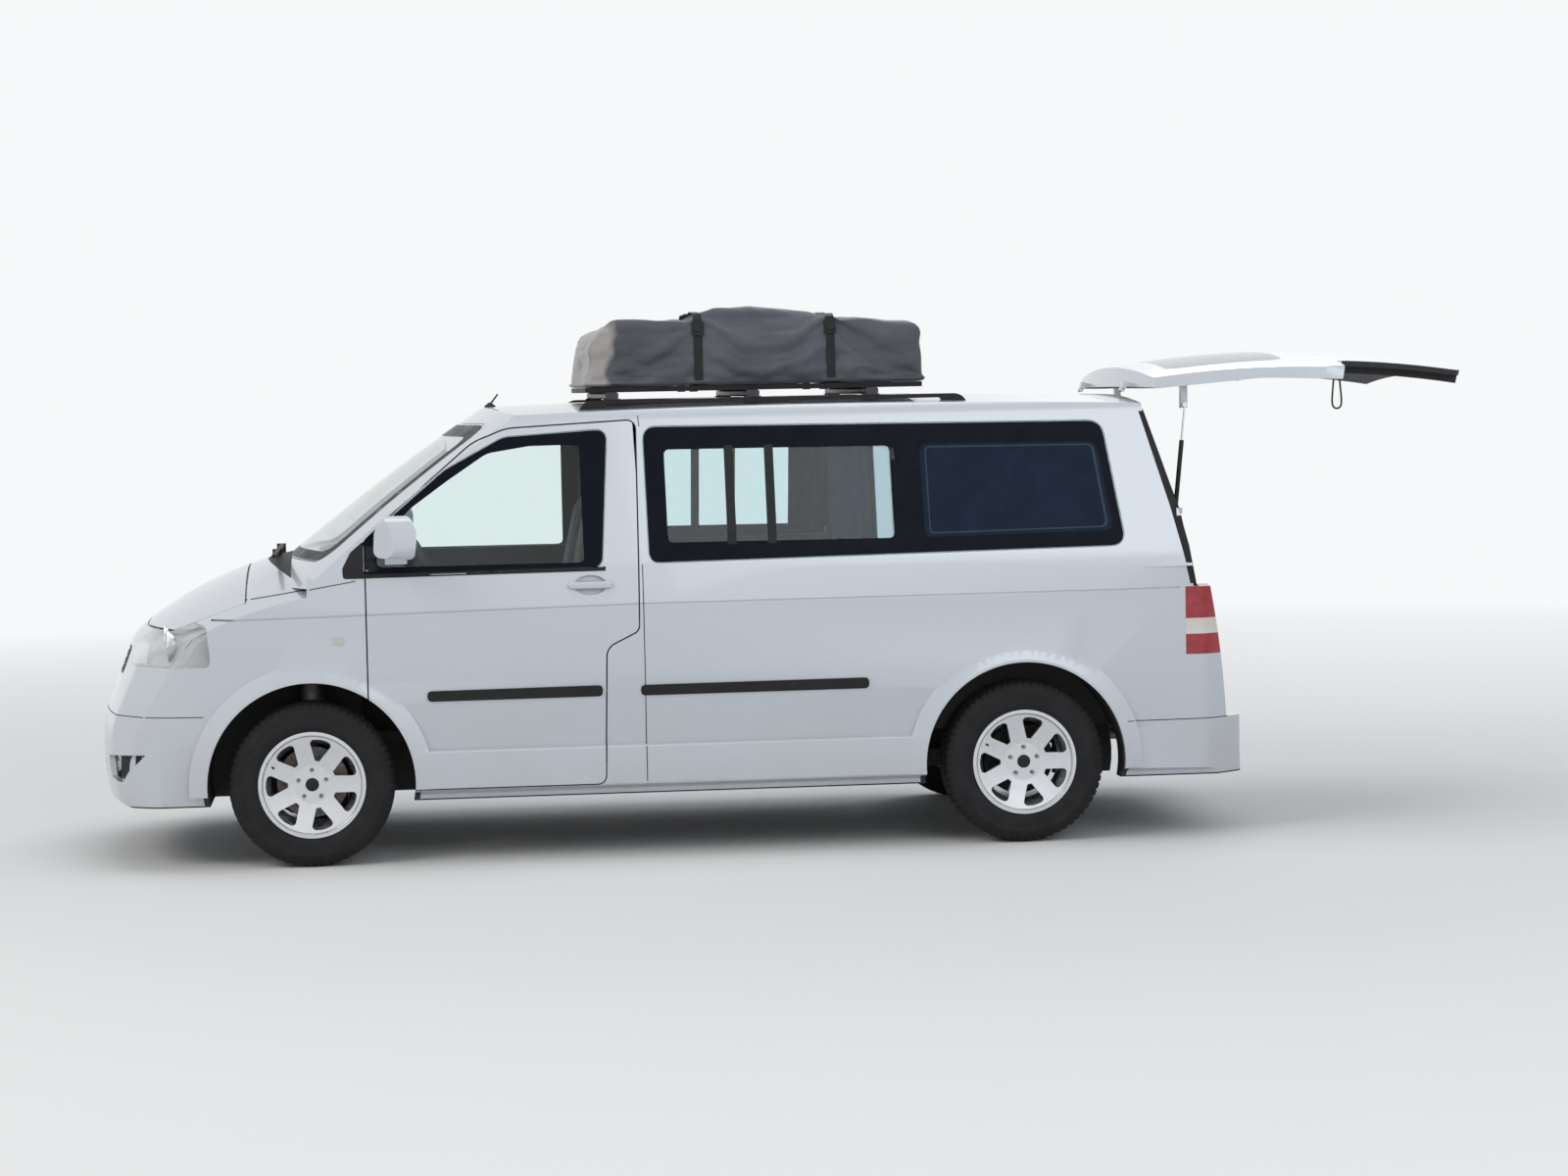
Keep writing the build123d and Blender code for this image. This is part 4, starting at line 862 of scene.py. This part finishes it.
# Straps over the cover, each a half turn and a little more, with a buckle on both sides
STRAP_WIDE, STRAP_THICK = 0.036, 0.0022
STRAP_STEPS, STRAP_SWEEP, STRAP_START = 96, 1.26, -0.13
BUCKLE_UP = 0.06
BUCKLE = ((0.006, (0.050, 0.062, 0.008)), (0.012, (0.034, 0.030, 0.008)))


def ribbon(name, rows, finish):
    """A flat strap through rows of place, outward normal, with its width along X."""
    bm = bmesh.new()
    rings = []
    wide = Vector((STRAP_WIDE / 2, 0, 0))
    for place, normal in rows:
        top = place + normal * STRAP_THICK
        rings.append([bm.verts.new(c) for c in (place - wide, place + wide, top + wide, top - wide)])
    for first, second in zip(rings, rings[1:]):
        for i in range(4):
            k = (i + 1) % 4
            bm.faces.new((first[i], first[k], second[k], second[i]))
    bm.faces.new(rings[0])
    bm.faces.new(rings[-1][::-1])
    from_bmesh(name, bm, finish)


for i, x in enumerate(STRAP_X):
    rows = []
    middle = Vector((x, 0, tent_middle.z - 0.03))
    for k in range(STRAP_STEPS + 1):
        turn = pi * (k / STRAP_STEPS * STRAP_SWEEP + STRAP_START)
        way = Vector((0, cos(turn), sin(turn)))
        hits = []
        for offset in (-STRAP_WIDE / 2, 0, STRAP_WIDE / 2):
            place = cover_tree.ray_cast(middle + Vector((offset, 0, 0)) + way * 2, -way)[0]
            if place is not None:
                hits.append((place - middle).dot(way))
        if hits:
            rows.append([middle + way * (max(hits) + 0.001), way])
    for _ in range(3):
        smooth = [(a[0] + b[0] * 2 + c[0]) / 4 for a, b, c in zip(rows, rows[1:], rows[2:])]
        for row, place in zip(rows[1:-1], smooth):
            row[0] = place if (place - row[0]).dot(row[1]) > 0 else row[0]
    foot_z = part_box("tent_base")[0][2] - 0.004
    first, last = rows[0][0].y - 0.012, rows[-1][0].y + 0.012
    head = [[Vector((x, first, foot_z)), Y]]
    tail = [[Vector((x, last, foot_z)), -Y]]
    ribbon(f"tent_strap_{i}", head + rows + tail, "webbing")
    for side, sign in SIDES:
        near = [row for row in rows if row[0].y * sign > 0]
        place, way = min(near, key=lambda row: abs(row[0].z - tent_middle.z - BUCKLE_UP))
        lean = Z.rotation_difference(way).to_matrix().to_4x4()
        bm = bmesh.new()
        for height, size in BUCKLE:
            box = Matrix.Translation(place + way * height) @ lean @ Matrix.Diagonal((*size, 1))
            bmesh.ops.create_cube(bm, size=1.0, matrix=box)
        bmesh.ops.bevel(bm, geom=bm.edges[:], offset=0.0018, segments=2, affect="EDGES")
        from_bmesh(f"strap_buckle_{i}_{side}", bm, "black_plastic")

# Seats: padded pieces blown a little from their solids, with sewn channels up and down at the listed Y
SEAM_DEEP, SEAM_REACH = 0.007, 0.008
SEAT_PINNED, SEAT_SEWN = 0.26, 0.30
SEATS = (
    ("front_seats", "seat_pads_front", (0.38 - 0.15, 0.38 + 0.15, -0.38 - 0.15, -0.38 + 0.15)),
    ("rear_bench", "seat_pad_bench", (-0.42, -0.20, 0.20, 0.42, 0.0)),
)
for node, name, lines in SEATS:
    seat_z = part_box(node)[0][2]
    pad = remeshed(node, SEAT_VOXEL)
    settled(pad, lambda place: place.z < seat_z + SEAT_PINNED, 4.0, 0.0, 0.0, 0.010)
    finish_soft(pad, name, "interior_fabric")
    pushed(pad, lambda place: -SEAM_DEEP * max(bell(place.y - y, SEAM_REACH) for y in lines)
           if place.z > seat_z + SEAT_SEWN else 0.0)
    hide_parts(node)

# Headlamps: a clear lens over a tray with two bowls. Bowls as y, z, radius and distance behind the lens
LENS_THICK, LENS_SPREAD = 0.003, 0.3
TRAY_DEEP, TRAY_SHARE, TRAY_GAP = 0.050, 0.86, 0.0035
BOWLS = ((0.765, 0.930, 0.062, 0.074), (0.610, 0.950, 0.052, 0.094))
BOWL_DEEP, BOWL_LIP = 0.045, 0.003
BOWL_ROWS = (0.16, 0.3, 0.45, 0.6, 0.75, 0.9, 1.0)
FORWARD = Matrix.Rotation(-pi / 2, 4, "Z")


def lamp_shell(sign, way):
    """The headlamp's outer faces on one side as a sheet, and the points of a second sheet joined to it."""
    mesh = nodes["headlamps"].data
    bm = bmesh.new()
    made = {}
    for face in mesh.polygons:
        if face.center.y * sign <= 0 or face.normal.dot(way) <= LENS_SPREAD:
            continue
        corners = []
        for index in face.vertices:
            place = mesh.vertices[index].co
            key = tuple(round(c, 5) for c in place)
            if key not in made:
                made[key] = bm.verts.new(place)
            corners.append(made[key])
        if len(set(corners)) == len(corners):
            bm.faces.new(corners)
    bmesh.ops.recalc_face_normals(bm, faces=bm.faces)
    return bm, points_in(bmesh.ops.extrude_face_region(bm, geom=bm.faces[:])["geom"])


for side, sign in SIDES:
    way = Vector((0.75, 0.62 * sign, 0.25)).normalized()
    bm, back = lamp_shell(sign, way)
    bmesh.ops.translate(bm, verts=back, vec=way * -LENS_THICK)
    lens = from_bmesh("headlamp_lens_" + side, bm, "lamp_clear")
    if sign > 0:
        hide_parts("headlamps")
    bm, back = lamp_shell(sign, way)
    centre = sum((v.co for v in back), Vector()) / len(back)
    for vert in back:
        vert.co = centre + (vert.co - centre) * TRAY_SHARE - way * TRAY_DEEP
    front = [f for f in bm.faces if all(v not in back for v in f.verts)]
    bmesh.ops.delete(bm, geom=front, context="FACES_ONLY")
    bmesh.ops.translate(bm, verts=[v for v in bm.verts if v not in back], vec=way * -TRAY_GAP)
    walled(from_bmesh("headlamp_tray_" + side, bm, "lamp_back"), 0.0)
    lens_tree = tree_of(lens.data)
    for k, (y, z, radius, behind) in enumerate(BOWLS):
        hit = lens_tree.ray_cast(Vector((4, y * sign, z)), -X)[0]
        bowl = [(radius * t, BOWL_DEEP * t * t) for t in BOWL_ROWS]
        bowl += [(radius + BOWL_LIP, BOWL_DEEP), (radius + BOWL_LIP, BOWL_DEEP - 0.005)]
        place = Matrix.Translation((hit.x - behind, y * sign, z)) @ FORWARD
        turned(f"headlamp_bowl_{k}_{side}", bowl, 40, place, "reflector")

# Seams where panels meet flush: thin dark lines laid on the paint
LINE_WIDE, LINE_LIFT, LINE_DEEP, LINE_STEP = 0.0035, 0.0009, 0.002, 0.016
FRONT_SKIN = ("front_bumper", "front_wings", "body_shell")
LEFT_SKIN = ("side_panel_left", "body_shell", "roof_panel")


def seam(name, view, a, b, *below):
    """A dark line from a to b, in the view's u, v, on the nodes below it."""
    a, b = Vector(a), Vector(b)
    across = (b - a).normalized().orthogonal() * LINE_WIDE / 2
    loop = [a - across, b - across, b + across, a + across]
    drape(name, [loop], view, skin_tree(*below), LINE_LIFT, LINE_DEEP, "seal", LINE_STEP)


for side, sign in SIDES:
    seam("bumper_seam_" + side, side, (1.936 + MID, 0.640), (2.20 + MID, 0.640), *FRONT_SKIN)
    seam("rear_bumper_seam_" + side, side, (-2.40 + MID, 0.505), (-1.94 + MID, 0.505), "rear_bumper",
         "side_panel_" + side)
    seam("wing_seam_" + side, side, (1.30 + MID, 1.186), (1.86 + MID, 1.095), *FRONT_SKIN)
seam("bumper_seam_front", "front", (-0.83, 0.640), (0.83, 0.640), *FRONT_SKIN)
seam("panel_seam_left", "left", (0.108 + MID, 0.305), (0.108 + MID, 1.225), *LEFT_SKIN)
seam("panel_seam_top_left", "left", (0.100 + MID, 1.800), (0.104 + MID, 1.845), *LEFT_SKIN)

# Bumper intake: a black sheet behind the slats, painted shade in the gaps between them. Rows of its height,
# and the height that gives their depth
INTAKE_ROWS = ((0.340, 0.372), (0.372, 0.372), (0.408, 0.408), (0.444, 0.444), (0.476, 0.444))
INTAKE_LOW, INTAKE_TALL = 0.338, 0.140
INTAKE_HALF, INTAKE_TAPER, INTAKE_BEHIND = 0.434, 0.045, 0.012
INTAKE_STEPS = 12
bumper_skin = skin_tree("front_bumper")
bm = bmesh.new()
grid = []
for z, slat in INTAKE_ROWS:
    half = INTAKE_HALF - INTAKE_TAPER * (z - INTAKE_LOW) / INTAKE_TALL
    line = []
    for k in range(-INTAKE_STEPS, INTAKE_STEPS + 1):
        y = half * k / INTAKE_STEPS
        place = bumper_skin.ray_cast(Vector((4, y, slat)), -X)[0]
        line.append(bm.verts.new((place.x - INTAKE_BEHIND, y, z)))
    grid.append(line)
fill_grid(bm, grid)
# The black sheet is painted shade seen through the gaps between the slats
walled(from_bmesh("bumper_intake", bm, "black_plastic"), -1.0)

# A fog lamp in each corner pocket. Its lens and bowl are rows of radius, distance ahead of the skin
POCKET = ((0.6022, 0.3763), (0.5927, 0.4637), (0.8454, 0.4808), (0.7675, 0.3687))
FOG_Y, FOG_Z = 0.672, 0.420
FOG_LENS = ((0.004, 0.012), (0.020, 0.011), (0.034, 0.007), (0.037, 0.002), (0.041, 0.003), (0.042, -0.006))
FOG_BOWL = ((0.003, -0.018), (0.018, -0.014), (0.030, -0.007), (0.036, 0.0))
for side, sign in SIDES:
    pocket = rounded([(y * sign, z, 0.015) for y, z in POCKET])
    drape("bumper_pocket_" + side, [pocket], "front", bumper_skin, 0.0015, 0.003, "black_plastic", 0.04)
    place = bumper_skin.ray_cast(Vector((4, FOG_Y * sign, FOG_Z)), -X)[0]
    turned("fog_lamp_" + side, FOG_LENS, 36, Matrix.Translation(place) @ FORWARD, "lamp_clear")
    turned("fog_bowl_" + side, FOG_BOWL, 36, Matrix.Translation(place) @ FORWARD, "reflector")

# Windscreen band and mirror glasses, as rows of y, z, corner radius
SCREEN = [(0.790, 1.268, 0.06), (0.634, 1.816, 0.10), (-0.634, 1.816, 0.10), (-0.790, 1.268, 0.06)]
SCREEN_CLEAR = [(0.742, 1.302, 0.06), (0.600, 1.770, 0.08), (-0.600, 1.770, 0.08), (-0.742, 1.302, 0.06)]
MIRROR = ((0.985, 1.302, 0.025), (0.985, 1.440, 0.03), (1.142, 1.444, 0.03), (1.150, 1.318, 0.03))
drape("windscreen_band", [rounded(SCREEN), rounded(SCREEN_CLEAR)], "front", skin_tree("windscreen"), *PRINT,
      "ink", 0.08)
for side, sign in SIDES:
    glass = rounded([(y * sign, z, radius) for y, z, radius in MIRROR])
    drape("mirror_glass_" + side, [glass], "back", skin_tree("door_mirror_" + side), 0.0015, 0.003,
          "mirror_glass", 0.05, "door_" + side)

# Aerial on the roof: a domed base and a short rod that leans back
AERIAL_X = 0.70 + MID
AERIAL_BASE = ((0.0, 0.020), (0.006, 0.019), (0.012, 0.014), (0.020, 0.008), (0.026, 0.002), (0.026, -0.004))
ROD_FOOT, ROD_TIP, ROD_RADIUS = Vector((0, 0, 0.01)), Vector((-0.035, 0, 0.055)), 0.004
foot = skin_tree("roof_panel", "body_shell").ray_cast(Vector((AERIAL_X, 0, 3)), -Z)[0]
upright = Matrix.Translation(foot) @ Matrix.Rotation(pi / 2, 4, "X")
turned("aerial_base", AERIAL_BASE, 32, upright, "black_plastic")
tube("aerial_stub", [foot + ROD_FOOT, foot + ROD_TIP], ROD_RADIUS, "black_plastic")

# Rubber seal round the tailgate's opening, as x, z down the pillar and x, y, z on down to the sill
GATE_EDGE = ((-2.061, 1.822), (-2.123, 1.62), (-2.187, 1.405), (-2.223, 1.24), (-2.247, 1.078))
GATE_SILL = ((-2.300, 0.758, 1.050), (-2.330, 0.760, 0.80), (-2.345, 0.755, 0.56))
SEAL_IN, SEAL_RADIUS = 0.030, 0.009
seal_path = []
for side, sign in SIDES:
    leg = [Vector((x + MID, (half_width(z) - SEAL_IN) * sign, z)) for x, z in GATE_EDGE]
    leg += [Vector((x + MID, y * sign, z)) for x, y, z in GATE_SILL]
    seal_path += leg[::-1] if sign > 0 else leg
tube("gate_seal", seal_path, SEAL_RADIUS, "seal")

# Inner walls of the wheel houses: y of the wall, then middle, half width and top of the opening for the axle
HOUSES = {"front": (0.45, 2.03, 0.155, 0.44), "rear": (0.60, -0.85, 0.285, 0.51)}
HOUSE_RADIUS, HOUSE_WALL = WELL_RADIUS - 0.010, 0.004
ARC_STEPS, ARC_SWEEP, ARC_START = 30, 1.124, -0.062
for end, (inner, middle, half, top) in HOUSES.items():
    for side, sign in SIDES:
        turns = [pi * (k / ARC_STEPS * ARC_SWEEP + ARC_START) for k in range(ARC_STEPS + 1)]
        loop = [(AXLES[end] + HOUSE_RADIUS * cos(a), AXLE_Z + HOUSE_RADIUS * sin(a)) for a in turns]
        left, right = middle - half, middle + half
        loop += [(left, loop[-1][1]), (left, top), (right, top), (right, loop[0][1])]
        bm = bmesh.new()
        face = bm.faces.new([bm.verts.new((x, inner * sign, z)) for x, z in loop])
        wide = points_in(bmesh.ops.extrude_face_region(bm, geom=[face])["geom"])
        bmesh.ops.translate(bm, verts=wide, vec=(0, HOUSE_WALL * sign, 0))
        bmesh.ops.triangulate(bm, faces=bm.faces)
        from_bmesh(f"wheel_house_{end}_{side}", bm, "chassis", "body", False)

# Curtain in the middle window, hung in pleats. It leans with the wall, so it is longer than its drop
CURTAIN_FRONT, CURTAIN_BACK = -0.705 + MID, -1.100 + MID
CURTAIN_TOP, CURTAIN_DROP, CURTAIN_LONG = 1.725, 0.430, 0.443
CURTAIN_IN = 0.080
PLEATS, PLEAT_DEEP = 10, 0.006
columns, rows = PLEATS * 12, 16
for side, sign in SIDES:
    bm = bmesh.new()
    grid = []
    for i in range(columns + 1):
        x = CURTAIN_FRONT + (CURTAIN_BACK - CURTAIN_FRONT) * i / columns
        line = []
        for j in range(rows + 1):
            z = CURTAIN_TOP - CURTAIN_DROP * j / rows
            swing = PLEAT_DEEP * (1 + j / rows) * sin(2 * pi * PLEATS * i / columns + 0.4 * sin(j * 0.5))
            line.append(bm.verts.new((x, sign * (half_width(z) - CURTAIN_IN + swing), z)))
        grid.append(line)
    fill_grid(bm, grid)
    area = sum(face.calc_area() for face in bm.faces)
    curtain = from_bmesh("curtain_" + side, bm, "blind")

# Floor, backdrop and light. Far from the object the floor fades into the backdrop
BACKDROP = (0.93, 0.94, 0.95)
FADE_FROM, FADE_TO = 3.8, 15.0
floor = placed("floor", bpy.data.meshes.new("floor"))
floor.data.from_pydata([(-60, -60, 0), (60, -60, 0), (60, 60, 0), (-60, 60, 0)], [], [(0, 1, 2, 3)])
look = Shader("floor", (0.88, 0.87, 0.85), Roughness=0.9)
look.set("Roughness", look.patchy(3.0, 3.0, 0.85, 0.95))
away = look.math("SQRT", look.math("ADD", look.square(look.axis(0)), look.square(look.axis(1))))
glow = look.add("Emission", in_Color=BACKDROP)
fade = look.range(away, FADE_FROM, FADE_TO)
blend = look.add("MixShader", in_0=fade, in_1=look.bsdf.outputs[0], in_2=glow.outputs[0])
look.give(look.tree.nodes["Material Output"].inputs["Surface"], blend.outputs[0])
floor.data.materials.append(look.material)

# The world lights the object softly, and rays that go straight, mirror or pass glass see the backdrop
world = bpy.data.worlds.new("studio")
world.use_nodes = True
bpy.context.scene.world = world
sky = Nodes(world.node_tree)
ground = sky.tree.nodes["Background"]
sky.give(ground.inputs["Color"], (0.86, 0.92, 1.0))
sky.give(ground.inputs["Strength"], 0.50)
seen = sky.add("Background", in_Color=BACKDROP)
rays = sky.add("LightPath").outputs
straight = sky.math("MAXIMUM", rays["Is Camera Ray"], rays["Is Glossy Ray"])
straight = sky.math("MAXIMUM", straight, rays["Is Transmission Ray"])
mixed = sky.add("MixShader", in_0=straight, in_1=ground.outputs[0], in_2=seen.outputs[0])
sky.give(sky.tree.nodes["World Output"].inputs["Surface"], mixed.outputs[0])

# name, place, aim, width, height, watts, colour
LAMPS = [
    ("key", (9, 7, 8), (0, 0, 0.8), 6, 4, 360, (1.0, 0.96, 0.90)),
    ("fill", (-4, 11, 6), (0, 0, 0.8), 8, 5, 190, (0.92, 0.96, 1.0)),
    ("back", (-6, -10, 8), (0, 0, 0.8), 7, 5, 220, (0.95, 0.97, 1.0)),
    ("top", (0, 0, 10), (0, 0, 0), 8, 5, 170, (1.0, 1.0, 1.0)),
]
for name, place, toward, width, height, watts, color in LAMPS:
    lamp = bpy.data.lights.new(name, "AREA")
    lamp.shape, lamp.size, lamp.size_y, lamp.energy, lamp.color = "RECTANGLE", width, height, watts, color
    lamp_object = placed(name, lamp)
    lamp_object.location = place
    lamp_object.rotation_euler = (Vector(toward) - Vector(place)).to_track_quat("-Z", "Y").to_euler()
